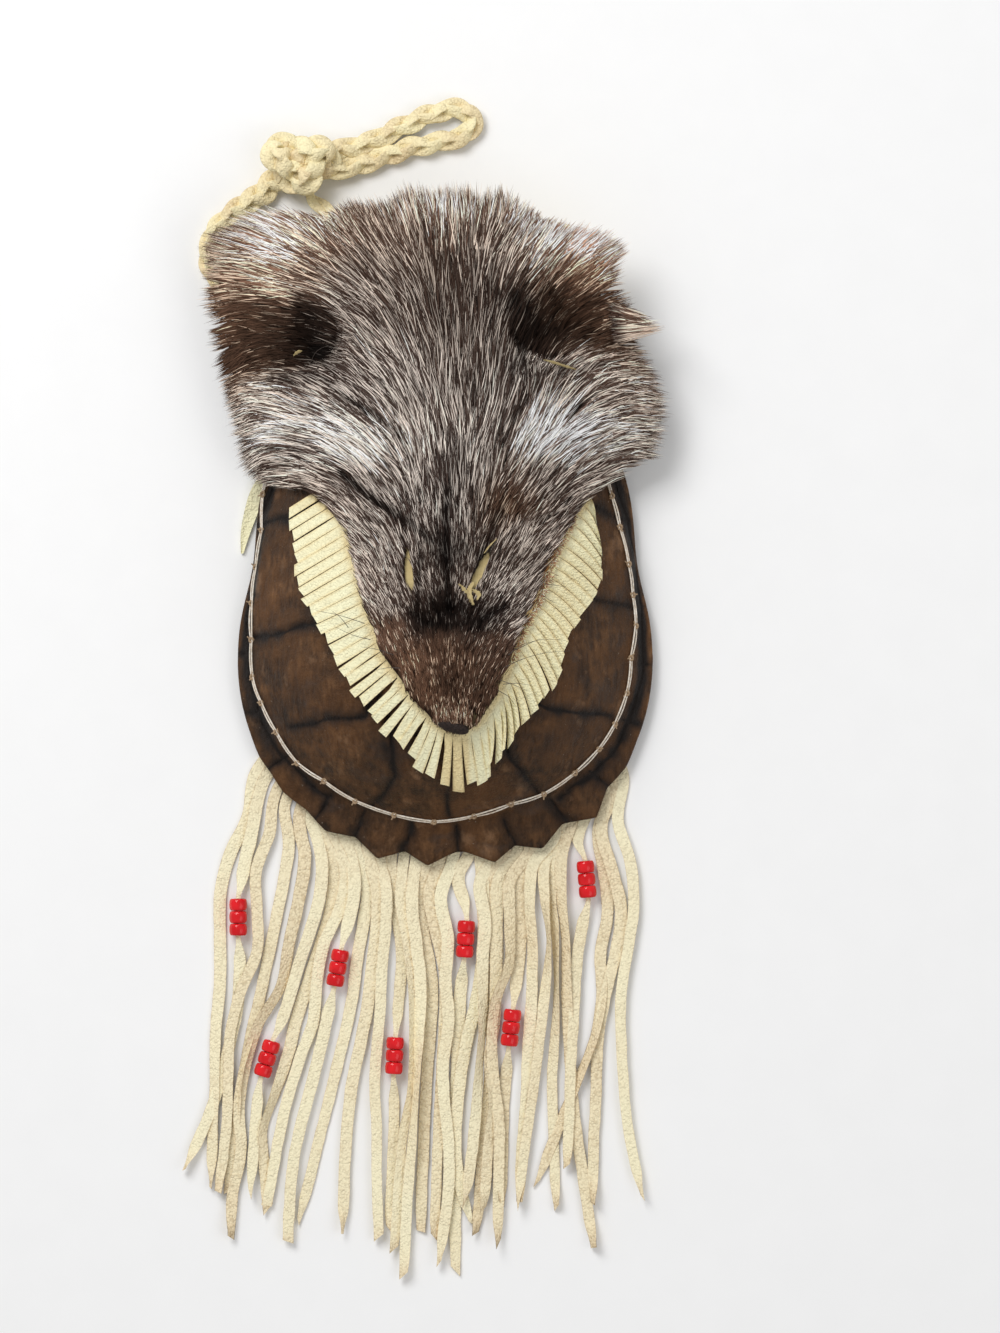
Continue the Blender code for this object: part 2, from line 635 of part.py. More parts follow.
def lining_shares():
    """Where the mesh meets the lining's edge: both sides of every strip, then a few plain places."""
    stations = len(LINING_UPPER_LEFT) + len(SHORT_FRINGE) + len(LINING_UPPER_RIGHT)
    first = len(LINING_UPPER_LEFT) / stations
    last = (len(LINING_UPPER_LEFT) + len(SHORT_FRINGE) - 1) / stations
    sides = []
    for strip in range(SHORT_STRIPS):
        sides += [(strip + SHORT_CUT / 2) / SHORT_STRIPS, (strip + 1 - SHORT_CUT / 2) / SHORT_STRIPS]
    plain = [last + (1 - last + first) * (step + 1) / 13 for step in range(12)]
    return even_shares(first, last, sides) + [share % 1.0 for share in plain]


def lining_vertex(mesh, x, y, lift):
    return mesh.verts.new(Vector((x, y, over_support(x, y, lift))) * MM)


def closed_ring(mesh, points):
    return [mesh.edges.new((points[at - 1], points[at])) for at in range(len(points))]


def build_lining(parts, material):
    """Buckskin lining of the flap. Its lower edge is cut into short strips, which lie on the carapace."""
    mesh = bmesh.new()
    shares = lining_shares()
    roots = [lining_vertex(mesh, *lining_edge(share)[:2], LINING_EDGE_LIFT) for share in shares]
    outer = closed_ring(mesh, roots)
    ring_shares = even_shares(0.0, 1.0, [step / LINING_RING for step in range(LINING_RING)])
    for scale in LINING_RINGS:
        ring = []
        for share in ring_shares:
            x, y = np.array(LINING_MIDDLE) + (lining_edge(share)[:2] - LINING_MIDDLE) * scale
            ring.append(lining_vertex(mesh, x, y, LINING_LIFT))
        inner = closed_ring(mesh, ring)
        bmesh.ops.bridge_loops(mesh, edges=outer + inner)
        outer = inner
    mesh.faces.new(ring)
    for strip in range(SHORT_STRIPS):
        before = [roots[2 * strip], roots[2 * strip + 1]]
        for reach in (0.5, 1.0):
            after = []
            for side in (0, 1):
                root_x, root_y, tip_x, tip_y = lining_edge(shares[2 * strip + side])
                x, y = root_x + (tip_x - root_x) * reach, root_y + (tip_y - root_y) * reach
                after.append(lining_vertex(mesh, x, y, LINING_EDGE_LIFT))
            mesh.faces.new((before[0], before[1], after[1], after[0]))
            before = after
    bmesh.ops.recalc_face_normals(mesh, faces=mesh.faces)
    if sum(face.normal.z * face.calc_area() for face in mesh.faces) < 0:
        bmesh.ops.reverse_faces(mesh, faces=mesh.faces)
    data = bpy.data.meshes.new("fringed_lining")
    mesh.to_mesh(data)
    mesh.free()
    lining = add_object("fringed_lining", data, parts, material)
    add_wall(lining, LINING_WALL, 1)
    return lining


def strip_root(index):
    """Angle at which a long strip leaves the seam."""
    first, last = FRINGE_ANGLES
    return math.radians(first + (last - first) * (index + 0.5) / len(LONG_STRIPS))


def bead_places(line, middle_y):
    """(centre, direction) of three beads on a strip's centreline."""
    index = min(range(len(line)), key=lambda at: abs(line[at][1] - middle_y))
    centre = Vector((line[index][0], middle_y, BEAD_RADIUS + FRINGE_FLOOR))
    along = Vector((*(line[index + 1] - line[index - 1]), 0)).normalized()
    return [(centre + along * BEAD_SPACE * step, along) for step in (-1, 0, 1)]


def clear_of_beads(line, groups):
    """Moves a strip's middle line sideways where it would pass through the beads of other strips."""
    clearance = BEAD_RADIUS + FRINGE_WIDTH / 2 + 4 * GAP
    half = BEAD_SPACE + BEAD_LENGTH / 2
    for centre, along in groups:
        centre, along = np.array(centre[:2]), np.array(along[:2])
        across = np.array((-along[1], along[0]))
        nearest = min(line, key=lambda point: abs((point - centre) @ along))
        side = math.copysign(1, (nearest - centre) @ across)
        for at, point in enumerate(line):
            past = abs((point - centre) @ along) - half
            reach = clearance * (1 - smooth_step((past - DETOUR_START) / DETOUR_REACH))
            short = reach - side * ((point - centre) @ across)
            if short > 0 and past < DETOUR_START + DETOUR_REACH:
                line[at] = point + across * side * short
    return line


def free_line(index, count):
    """Points down the middle of a long strip on the ground plan, as if no bead were in its way."""
    angle = strip_root(index)
    out = np.array((math.cos(angle), math.sin(angle)))
    middle = np.array((0.0, SHELL_MID_Y))
    root = middle + out * lace_radius(angle)
    rim = (middle + out * rim_radius(angle)) * 0.75 + np.array(LONG_STRIPS[index][0]) * 0.25
    return smooth_line([root, rim, *LONG_STRIPS[index]], count)


def strip_line(index, beads):
    """A strip's middle line, straight through its own beads and clear of the others."""
    own = beads.get(index, [])
    line = free_line(index, STRIP_POINTS + 4 if own else STRIP_POINTS)
    others = [places[1] for owner, places in beads.items() if owner != index]
    line = clear_of_beads(line, others)
    if not own:
        return line
    centre, along = (np.array(value[:2]) for value in own[1])
    half = BEAD_SPACE + BEAD_LENGTH / 2 + 1.0
    before = [point for point in line if (point - centre) @ along < -half - 4.0]
    after = [point for point in line if (point - centre) @ along > half + 4.0]
    return before + [centre - half * along, centre, centre + half * along] + after


def strip_height(point, index):
    """Underside of a long strip: it drops from the seam, under the carapace's margin, to its own layer."""
    x, y = point
    angle = math.atan2(y - SHELL_MID_Y, x)
    radius = math.hypot(x, y - SHELL_MID_Y)
    inner, outer = lace_radius(angle), rim_radius(angle)
    layer = FRINGE_LAYER_RISE * (index % FRINGE_LAYERS)
    low = FRINGE_FLOOR + layer * smooth_step((radius - outer - TOOTH_REACH) / 20.0)
    share = (radius - inner) / (outer - inner)
    top = BAND_Z + 0.05 * (index % FRINGE_LAYERS)
    return low + (top - low) * max(0.0, 1 - max(0.0, share)) ** 1.7


def all_beads():
    """The bead places of every beaded strip."""
    return {index: bead_places(free_line(index, 60), middle) for index, middle in BEADED_STRIPS}


def build_long_fringe(parts, material, beads):
    """One piece of buckskin: a band in the seam, cut into long strips that lie over each other."""
    steps = 30

    def band_place(u, v):
        first, last = FRINGE_ANGLES
        angle = math.radians(first + (last - first) * u)
        radius = lace_radius(angle) * (BAND_SHARES[0] + (BAND_SHARES[1] - BAND_SHARES[0]) * v)
        return radius * math.cos(angle), SHELL_MID_Y + radius * math.sin(angle), BAND_Z - 0.1

    band = mapped_grid("long_fringe", steps, 1, band_place, parts, material)
    add_wall(band, FRINGE_WALL + 0.3, 1)
    strips = make_collection("fringe_strips", hidden=True)
    for index in range(len(LONG_STRIPS)):
        strip = build_strip(index, beads, strips)
        strip.hide_render = True
        strip.display_type = "WIRE"
    join = band.modifiers.new("strips", "BOOLEAN")
    join.operation = "UNION"
    join.operand_type = "COLLECTION"
    join.collection = strips
    return band


def build_strip(index, beads, collection):
    """A long strip: flat, tapered, and folded narrow where its beads are."""
    line = strip_line(index, beads)
    own = beads.get(index, [])
    places = []
    for step, point in enumerate(line):
        after, before = line[min(step + 1, len(line) - 1)], line[max(step - 1, 0)]
        along = Vector((*(after - before), 0)).normalized()
        across = Vector((-along.y, along.x, 0))
        width = FRINGE_WIDTH + (FRINGE_TIP_WIDTH - FRINGE_WIDTH) * step / (len(line) - 1)
        width *= ROOT_SHARE + (1 - ROOT_SHARE) * min(1.0, step / 2)
        low = strip_height(point, index)
        if own:
            centre, direction = own[1]
            ahead = abs((Vector((*point, centre.z)) - centre).dot(direction))
            in_beads = 1 - smooth_step((ahead - BEAD_SPACE - BEAD_LENGTH / 2 - 1.2) / NARROW_REACH)
            width += (THREAD_WIDTH - width) * in_beads
            low += (own[0][0].z - FRINGE_WALL / 2 - low) * in_beads
        places.append((Vector((*point, low)), across * width / 2))

    def place(u, v):
        centre, half = places[round(v * (len(places) - 1))]
        return centre + half * (2 * u - 1)

    strip = mapped_grid(f"strip_{index:02d}", 1, len(line) - 1, place, collection, None)
    add_wall(strip, FRINGE_WALL, 1)
    return strip


def build_bead(name, centre, along, parts, material):
    """A pony bead: a profile turned about its hole, laid with the hole along its strip."""
    half = BEAD_LENGTH / 2
    profile = (
        (BEAD_HOLE_RADIUS, half - 0.4),
        (BEAD_RADIUS - BEAD_ROUND, half),
        (BEAD_RADIUS, half - BEAD_ROUND),
        (BEAD_RADIUS, BEAD_ROUND - half),
        (BEAD_RADIUS - BEAD_ROUND, -half),
        (BEAD_HOLE_RADIUS, 0.4 - half),
    )
    data = bpy.data.meshes.new(name)
    mesh = bmesh.new()
    points = [mesh.verts.new((x * MM, 0, z * MM)) for x, z in profile]
    for first, second in zip(points, points[1:] + points[:1]):
        mesh.edges.new((first, second))
    mesh.to_mesh(data)
    mesh.free()
    bead = add_object(name, data, parts, material)
    turned = bead.modifiers.new("turned", "SCREW")
    turned.steps = BEAD_SIDES
    turned.render_steps = BEAD_SIDES
    turned.use_merge_vertices = True
    turned.merge_threshold = 0.00005
    turned.use_smooth_shade = True
    bead.location = centre * MM
    bead.rotation_mode = "QUATERNION"
    bead.rotation_quaternion = along.to_track_quat("Z", "Y")
    return bead


def build_strap(parts, material):
    """Braided strap: each leg comes from the back of the pouch to the knot, and the loop leaves the knot."""
    for name, points in (("strap_left_leg", LEFT_LEG), ("strap_right_leg", RIGHT_LEG)):
        line = smooth_line(points, 2 * len(points))
        last = len(line) - 1
        shares = [smooth_step(at / last) for at in range(last + 1)]
        radii = [LEG_RADIUS * (LEG_END_SHARE + (1 - LEG_END_SHARE) * share) for share in shares]
        tube(name, line, radii, parts, material, sides=2)
    line = smooth_line(LOOP, 34)
    tube("strap_loop", line, [LOOP_RADIUS] * len(line), parts, material, sides=2)
    bpy.ops.mesh.primitive_uv_sphere_add(segments=16, ring_count=10, radius=1)
    knot = bpy.context.object
    knot.name = "strap_knot"
    knot.data.materials.append(material)
    knot.data.shade_smooth()
    knot.location = (KNOT_CENTRE[0] * MM, KNOT_CENTRE[1] * MM, (KNOT_SIZE[2] + FRINGE_FLOOR) * MM)
    knot.rotation_euler = (0, 0, math.radians(KNOT_TURN))
    knot.scale = [size * MM for size in KNOT_SIZE]
    move_to(knot, parts)


def build_side_end(parts, material):
    """The end of a leather thong that comes out between the carapace and the back on the left."""
    places = smooth_line(SIDE_END, 9)

    def place(u, v):
        x, y, z, width = places[round(v * (len(places) - 1))]
        return x + width * (u - 0.5), y, z

    end = mapped_grid("side_thong_end", 1, len(places) - 1, place, parts, material)
    add_wall(end, FRINGE_WALL, 1)
    return end


def main():
    clear_scene()
    parts = make_collection("hide_pouch")
    cutters = make_collection("cutters", hidden=True)
    horn = make_material("carapace_horn", (0.085, 0.045, 0.025), 0.5)
    fur = make_material("silver_fox_fur", (0.19, 0.15, 0.13), 0.9)
    pale = make_material("pale_buckskin", (0.80, 0.70, 0.42), 0.85)
    tan = make_material("suede_buckskin", (0.70, 0.55, 0.32), 0.95)
    sinew = make_material("waxed_sinew", (0.80, 0.76, 0.68), 0.6)
    glass = make_material("red_bead", (0.62, 0.004, 0.010), 0.12)

    build_back_panel(parts, tan)
    build_carapace(parts, cutters, horn)
    build_lacing(parts, sinew)
    beads = all_beads()
    build_long_fringe(parts, tan, beads)
    for group, (index, _) in enumerate(BEADED_STRIPS):
        for step, (centre, along) in enumerate(beads[index]):
            build_bead(f"bead_{group + 1}{'abc'[step]}", centre, along, parts, glass)
    build_side_end(parts, pale)
    build_strap(parts, pale)
    hinge = add_object("flap_hinge", None, parts, None)
    hinge.location = (0, HINGE_Y * MM, HINGE_Z * MM)
    for piece in (build_lining(parts, pale), build_flap(parts, cutters, fur)):
        piece.parent = hinge
        piece.matrix_parent_inverse = Matrix.Translation(-hinge.location)


main()
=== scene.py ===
"""Looks of the hide pouch: a turtle's shell, a fox-face fur flap, buckskin fringes and a braided strap.

Places and sizes are in millimetres in the CAD part's frame until a mesh is made. The numbers of the forms
are the CAD part's own. A place that is marked as seen is given in units of the photograph, two to the
millimetre.
"""

import math

import bmesh
import bpy
import numpy as np
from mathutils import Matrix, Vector


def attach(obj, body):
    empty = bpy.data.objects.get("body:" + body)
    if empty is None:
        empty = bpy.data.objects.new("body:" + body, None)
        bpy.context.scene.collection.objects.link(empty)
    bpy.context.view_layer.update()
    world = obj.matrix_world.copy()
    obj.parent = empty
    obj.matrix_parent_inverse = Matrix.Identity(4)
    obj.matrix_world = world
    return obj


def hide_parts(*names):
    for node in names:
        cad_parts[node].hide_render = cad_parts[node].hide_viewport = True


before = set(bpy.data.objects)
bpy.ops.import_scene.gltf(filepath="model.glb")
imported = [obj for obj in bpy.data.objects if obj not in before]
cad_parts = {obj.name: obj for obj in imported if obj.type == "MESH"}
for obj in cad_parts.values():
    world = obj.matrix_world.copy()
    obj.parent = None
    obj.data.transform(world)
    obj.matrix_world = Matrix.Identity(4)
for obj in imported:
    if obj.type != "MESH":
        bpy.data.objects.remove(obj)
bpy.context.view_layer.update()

MM = 0.001
GAP = 0.35
RANDOM = np.random.default_rng(7)
SHARP_TURN = 50.0

# The photograph: its middle on the ground plan, its scale and its size
SEEN_MIDDLE = (445.0, 600.0)
SEEN_PER_MM = 2
PHOTO_PIXELS = (1000, 1333)

# Camera, light and ground, in metres
FRAME_WIDTH = 0.5
CAMERA_HEIGHT = 4.0
FOCUS_HEIGHT = 0.02
SENSOR_HEIGHT = 36.0
SKY_STRENGTH = 0.48
LAMPS = (("key", (-0.8, 1.1, 1.7), 1.1, 30.0), ("fill", (1.2, -0.6, 1.6), 1.2, 5.5))
FLOOR_HALF = 3.0
FLOOR_DROP = 0.0002

# Carapace and lacing line
SHELL_MID_Y = -27.0
SHELL_HALF_WIDTH = 103.75
SHELL_TAIL = 99.0
SHELL_HEAD = 165.0
SHELL_POWER = 2.2
SHELL_WALL = 3.0
DOME_WALL = 2.6
SHELL_RIM_Z = 8.0
TOOTH_REACH = 7.0
TEETH = (
    (209.0, 0.12), (220.5, 0.2), (235.9, 0.5), (251.7, 1.0), (265.2, 1.0), (283.4, 1.0), (296.6, 0.95),
    (312.8, 1.0), (328.0, 0.2),
)
TOOTH_HALF_ANGLE = 8.0
WAIST = 0.047
WAIST_TURN = 65.0
WAIST_REACH = 14.0
MOUTH_Y = 90.0
LACE_HALF_WIDTH = 96.0
LACE_TAIL = 84.0
LACE_HEAD = 160.0
LACE_POWER = 2.1
LACE_Z = 16.0
DOME_RISE = 48.0
DOME_POWER = 2.6

# Back panel and hinge
BACK_WALL = 1.7
BACK_SHARE = 0.975
BACK_EDGE_Z = 8.4
BACK_TOP_SHARE = 1.0744
BACK_TOP_POWER = 3.5
BACK_TURN = 0.78
LIP_Y = 188.0
LIP_Z = 41.0
CORNER_START = 54.0
CORNER_REACH = 9.0
CORNER_DROP = 1.6
HINGE_Y = 186.0
HINGE_Z = 47.2
ROLL_RADIUS = 3.2
DROOP_START = 68.0
DROOP = 20.0
DROOP_REACH = 40.0

# Flap: (Y, left edge, right edge) of the hide with its fur, and how thick it is
FLAP_EDGES = (
    (189.0, -58.0, 50.0), (183.0, -88.0, 60.0), (176.0, -106.0, 77.0), (166.0, -112.0, 84.0),
    (152.0, -114.0, 86.0), (138.0, -114.0, 91.0), (122.0, -112.0, 96.0), (105.0, -108.0, 102.0),
    (86.0, -104.0, 105.0), (72.0, -99.0, 99.0), (61.0, -88.0, 87.0), (50.0, -62.0, 72.0),
    (35.0, -49.0, 61.0), (5.0, -42.0, 48.0), (-25.0, -33.0, 36.0), (-46.0, -20.0, 28.0),
    (-60.0, -8.0, 20.0), (-67.5, 1.0, 11.0),
)
FLAP_EDGE_THICKNESS = 3.0
FLAP_EDGE_ROUND = 0.32
FLAP_THICKNESS = (
    (-67.5, 6.0), (-30.0, 6.5), (10.0, 5.0), (45.0, 6.5), (80.0, 11.0), (140.0, 11.0), (189.0, 7.0),
)
MOUTH_EASE = 2.4
SIDE_REST_Z = 16.0
FLAP_RELIEF = (
    (18.0, 120.0, 34.0, 46.0, 7.0), (-70.0, 84.0, 26.0, 15.0, 8.0), (80.0, 92.0, 20.0, 20.0, 9.0),
    (-62.0, 120.0, 15.0, 13.0, -9.0), (54.0, 134.0, 19.0, 14.0, -10.0), (-98.0, 138.0, 12.0, 26.0, 6.0),
    (-66.0, 152.0, 30.0, 10.0, 5.0), (86.0, 146.0, 10.0, 22.0, 7.0), (-28.0, 52.0, 14.0, 14.0, 4.0),
    (38.0, 56.0, 14.0, 14.0, 4.0), (7.0, 22.0, 5.0, 26.0, -2.5), (6.0, -7.0, 24.0, 4.0, -3.0),
    (5.0, -36.0, 13.0, 20.0, 6.0), (5.0, -62.0, 7.0, 5.0, 2.0),
)
EYES = ((-17.0, 12.0, 94.0), (17.0, 12.0, 66.0))
EYE_LENGTH = 25.0
EYE_WIDTH = 4.4

# Lining
LINING_WALL = 1.5
LINING_TOP_Y = 172.0
LINING_UPPER_LEFT = ((-50.0, 172.0), (-58.0, 132.0), (-64.0, 96.0), (-65.0, 72.0))
LINING_UPPER_RIGHT = ((70.0, 66.0), (66.0, 96.0), (60.0, 132.0), (48.0, 172.0))
SHORT_FRINGE = (
    (-58.0, 58.0, -78.0, 46.0), (-44.0, 22.0, -73.0, 5.0), (-38.0, -3.0, -62.0, -14.0),
    (-29.0, -30.0, -47.0, -44.0), (-19.0, -46.0, -34.0, -62.0), (-10.0, -58.0, -21.0, -76.0),
    (0.0, -66.0, -3.0, -91.5), (8.0, -68.0, 9.0, -94.5), (17.0, -66.0, 21.0, -90.0),
    (27.0, -52.0, 32.0, -78.0), (33.0, -34.0, 48.0, -54.0), (40.0, -15.0, 60.0, -38.0),
    (47.0, 0.0, 66.0, -10.0), (54.0, 20.0, 79.0, 8.0), (62.0, 37.0, 82.0, 24.0),
    (72.0, 52.0, 80.0, 44.0),
)
SHORT_STRIPS = 56
LINING_MIDDLE = (8.0, 52.0)
LINING_LIFT = 1.5
LINING_EDGE_LIFT = 0.6
SEEN_STAIN = (293, 571)
# Cuts of the short fringe that stand open: place along it and width
OPEN_CUTS = (
    (0.020, 0.20), (0.050, 0.16), (0.295, 0.5), (0.335, 0.62), (0.375, 0.3), (0.43, 0.42), (0.48, 0.4),
)

# Long fringe and its beads
FRINGE_ANGLES = (206.0, 334.0)
FRINGE_WALL = 1.1
FRINGE_WIDTH = 6.4
FRINGE_TIP_WIDTH = 5.2
ROOT_SHARE = 0.84
FRINGE_LAYERS = 3
FRINGE_LAYER_RISE = 1.42
FRINGE_FLOOR = 0.25
STRIP_POINTS = 12
BAND_Z = 8.4
BAND_SHARES = (0.992, 1.03)
LONG_STRIPS = (
    ((-98.0, -105.0), (-107.0, -133.0), (-113.0, -190.0), (-118.0, -295.0)),
    ((-96.0, -112.0), (-103.0, -145.0), (-104.0, -200.0), (-120.0, -262.0), (-131.0, -286.0)),
    ((-85.0, -105.0), (-94.0, -133.0), (-106.0, -200.0), (-110.0, -262.0), (-114.0, -297.0)),
    ((-79.0, -110.0), (-86.0, -165.0), (-102.0, -236.0), (-109.0, -297.0)),
    ((-72.0, -112.0), (-79.0, -175.0), (-94.0, -246.0), (-107.0, -300.0), (-107.5, -320.0)),
    ((-64.0, -120.0), (-75.0, -190.0), (-92.0, -240.0), (-98.0, -298.0)),
    ((-58.0, -124.0), (-70.0, -196.0), (-83.0, -230.0), (-91.0, -262.0), (-89.0, -306.0)),
    ((-52.0, -128.0), (-60.0, -190.0), (-78.0, -246.0), (-90.0, -304.0)),
    ((-47.0, -130.0), (-54.0, -184.0), (-64.0, -232.0), (-76.0, -278.0), (-79.0, -322.0)),
    ((-41.0, -134.0), (-45.0, -186.0), (-58.0, -250.0), (-74.0, -312.0)),
    ((-36.0, -134.0), (-37.0, -190.0), (-47.0, -246.0), (-52.0, -318.0)),
    ((-31.0, -134.0), (-32.0, -190.0), (-34.5, -250.0), (-33.5, -320.0)),
    ((-27.0, -134.0), (-22.0, -180.0), (-25.5, -230.0), (-26.0, -268.0), (-28.0, -316.0)),
    ((-22.0, -136.0), (-17.0, -190.0), (-20.0, -250.0), (-26.0, -326.0)),
    ((-16.0, -138.0), (-12.0, -200.0), (-16.0, -262.0), (-21.5, -339.0)),
    ((-11.0, -138.0), (-7.0, -196.0), (-10.0, -252.0), (-12.5, -317.0)),
    ((-6.0, -136.0), (0.0, -190.0), (-3.0, -250.0), (-5.0, -320.0)),
    ((0.0, -136.0), (4.0, -186.0), (-1.0, -236.0), (2.0, -290.0), (-3.0, -333.0)),
    ((7.0, -134.0), (10.0, -152.0), (7.0, -205.0), (5.0, -270.0), (5.0, -337.0)),
    ((12.0, -136.0), (17.0, -190.0), (8.0, -235.0), (9.0, -300.0), (13.0, -313.0)),
    ((17.0, -138.0), (19.0, -190.0), (16.0, -250.0), (10.0, -303.0)),
    ((23.0, -134.0), (24.0, -180.0), (22.0, -244.0), (15.0, -318.0)),
    ((29.0, -134.0), (26.0, -170.0), (25.0, -230.0), (19.0, -306.0)),
    ((35.0, -134.0), (33.0, -176.0), (27.5, -246.0), (27.0, -323.0)),
    ((41.0, -130.0), (38.0, -175.0), (33.0, -213.0), (29.0, -262.0), (28.0, -303.0)),
    ((46.0, -128.0), (44.0, -176.0), (41.0, -240.0), (37.0, -302.0)),
    ((52.0, -126.0), (52.0, -170.0), (46.0, -230.0), (36.0, -304.0)),
    ((57.0, -122.0), (56.0, -180.0), (54.0, -250.0), (56.0, -305.0)),
    ((62.0, -118.0), (61.0, -180.0), (64.0, -250.0), (74.5, -325.0)),
    ((67.0, -114.0), (71.0, -140.0), (66.0, -180.0), (63.0, -240.0), (61.0, -284.0)),
    ((73.0, -110.0), (76.0, -155.0), (78.0, -205.0), (62.0, -252.0), (46.0, -293.0)),
    ((79.0, -104.0), (88.0, -155.0), (78.0, -212.0), (74.0, -303.0)),
    ((86.0, -98.0), (95.0, -140.0), (88.5, -196.0), (90.0, -250.0), (99.0, -300.0)),
)
BEAD_RADIUS = 4.5
BEAD_LENGTH = 6.0
BEAD_HOLE_RADIUS = 1.9
BEAD_SPACE = 6.25
BEADED_STRIPS = (
    (1, -159.0), (5, -230.0), (8, -184.5), (12, -228.5), (18, -170.0), (24, -214.5), (29, -140.0),
)
THREAD_WIDTH = 2.3
NARROW_REACH = 12.0

# Strap
LEG_RADIUS = 5.0
LOOP_RADIUS = 4.2
THONG_SHADES = (0.0, 0.22, 0.42)
KNOT_CENTRE = (-72.5, 219.5)
KNOT_SIZE = (21.5, 17.0, 12.5)
KNOT_TURN = -10.0
KNOT_THICK = LEG_RADIUS * 1.52
LEFT_LEG_END = ((-82.5, 212.6, 7.5), (-78.0, 215.5, 10.0))
RIGHT_LEG_END = ((-69.0, 206.0, 6.5), (-71.0, 211.0, 9.0))
LOOP_START = ((-66.0, 221.5, 11.0), (-60.0, 224.5, 9.0))
LOOP_END = ((-58.5, 215.8, 9.0), (-65.0, 216.0, 11.0))
LEFT_LEG = (
    (-62.05, 138.07, 18.04), (-66.4, 139.0, 15.8), (-73.0, 141.0, 11.2), (-80.5, 143.2, 7.6),
    (-89.0, 146.0, 5.0), (-99.0, 149.5, 4.0), (-108.0, 154.0, 3.9), (-116.0, 160.5, 4.0),
    (-120.3, 169.0, 4.3), (-119.8, 179.0, 4.7), (-114.0, 188.5, 5.1), (-105.5, 195.5, 5.3),
    (-96.5, 201.0, 5.3), (-87.25, 208.7, 5.3),
)
RIGHT_LEG = (
    (-48.0, 172.15, 24.65), (-48.8, 176.1, 20.7), (-52.2, 183.6, 14.2), (-55.3, 190.0, 8.6),
    (-60.3, 196.0, 6.0), (-66.85, 201.3, 5.4),
)
LOOP = (
    (-53.6, 226.27, 6.9), (-45.0, 227.6, 5.4), (-38.0, 230.0, 4.6), (-30.0, 233.6, 4.5),
    (-20.0, 238.6, 4.5), (-10.0, 242.8, 4.5), (-1.0, 245.8, 4.5), (7.0, 246.6, 4.5),
    (12.6, 243.6, 4.5), (13.8, 238.2, 4.5), (9.6, 233.6, 4.5), (2.0, 231.0, 4.5),
    (-8.0, 229.2, 4.5), (-18.0, 227.0, 4.5), (-28.0, 223.8, 4.5), (-38.0, 220.2, 4.6),
    (-45.0, 218.0, 5.4), (-51.9, 216.35, 6.85),
)
SIDE_END = (
    (-86.0, 66.0, 4.5, 9.0), (-93.0, 56.0, 3.4, 8.5), (-97.5, 44.0, 1.0, 7.0), (-100.5, 33.0, 0.6, 4.5),
    (-102.0, 23.5, 0.4, 1.2),
)

# Knots of the lace, as seen
SEEN_KNOTS = (
    (262, 494), (261, 530), (255, 567), (251, 603), (251, 640), (252, 677), (261, 703), (276, 732),
    (297, 763), (324, 781), (355, 801), (394, 815), (434, 822), (474, 816), (511, 804), (544, 794),
    (575, 773), (599, 749), (615, 724), (627, 693), (631, 658), (636, 626), (633, 595), (629, 564),
    (620, 527), (612, 496),
)
# Seams between the scutes, as seen, with their hidden ends reasoned
SEEN_SEAMS = (
    ((254, 640), (290, 630), (316, 625), (350, 610), (375, 592)),
    ((293, 729), (325, 720), (366, 716), (378, 690)),
    ((394, 760), (396, 775), (382, 795), (372, 806)),
    ((262, 527), (290, 515), (330, 505), (377, 480)),
    ((633, 611), (610, 602), (585, 597), (540, 590), (519, 590)),
    ((613, 718), (580, 712), (546, 708), (515, 690)),
    ((509, 757), (520, 770), (537, 791)),
    ((629, 520), (595, 508), (560, 495), (517, 480)),
    ((448, 794), (450, 813)),
    ((375, 420), (377, 480), (385, 535), (375, 592), (383, 640), (378, 690), (392, 730), (394, 760)),
    ((520, 420), (517, 480), (509, 535), (519, 590), (511, 640), (515, 690), (502, 728), (509, 757)),
    ((385, 535), (445, 541), (509, 535)),
    ((383, 640), (445, 650), (511, 640)),
    ((392, 730), (445, 738), (502, 728)),
)
# Worn spots of the shell, as seen: place, reach and strength, where dark ones are above 0
SEEN_SPOTS = (
    (278, 588, 9, -0.85), (262, 560, 16, -0.25), (300, 545, 14, -0.20), (268, 645, 14, 0.35),
    (300, 655, 26, -0.20), (345, 697, 7, -0.35), (358, 748, 16, -0.40), (340, 760, 22, -0.15),
    (320, 610, 22, 0.45), (300, 690, 20, 0.15), (372, 770, 18, 0.35), (420, 800, 18, -0.15),
    (470, 805, 14, -0.10), (600, 615, 12, -0.35), (590, 640, 22, -0.18), (610, 560, 22, -0.20),
    (575, 660, 24, -0.12), (545, 740, 22, 0.40), (580, 735, 18, 0.15), (520, 775, 14, 0.25),
    (505, 745, 12, 0.30), (565, 760, 6, -0.35), (640, 560, 10, -0.30), (655, 640, 10, 0.55),
    (640, 700, 12, 0.35), (622, 760, 12, 0.10), (600, 800, 12, -0.20), (552, 815, 14, 0.10),
    (500, 835, 12, -0.30), (487, 850, 7, -0.30), (430, 848, 12, -0.30), (385, 835, 12, 0.10),
    (340, 815, 14, 0.25), (300, 790, 14, 0.20), (265, 745, 10, 0.35), (247, 690, 8, -0.60),
    (250, 712, 7, -0.40), (244, 640, 8, 0.45), (295, 520, 12, 0.45), (270, 505, 14, 0.45),
    (655, 690, 7, -0.30), (648, 730, 8, -0.25), (385, 745, 12, 0.30), (540, 845, 6, -0.35),
    (415, 825, 8, 0.20), (345, 660, 14, -0.15),
)
MARGIN_SEAM_ANGLES = (146, 163, 180, 197, 213, 231.5, 243.5, 258.5, 273.5, 290, 306, 321, 340, 357, 14, 31)


def seen(u, v):
    """A place of the photograph on the ground plan."""
    return (u - SEEN_MIDDLE[0]) / SEEN_PER_MM, (SEEN_MIDDLE[1] - v) / SEEN_PER_MM


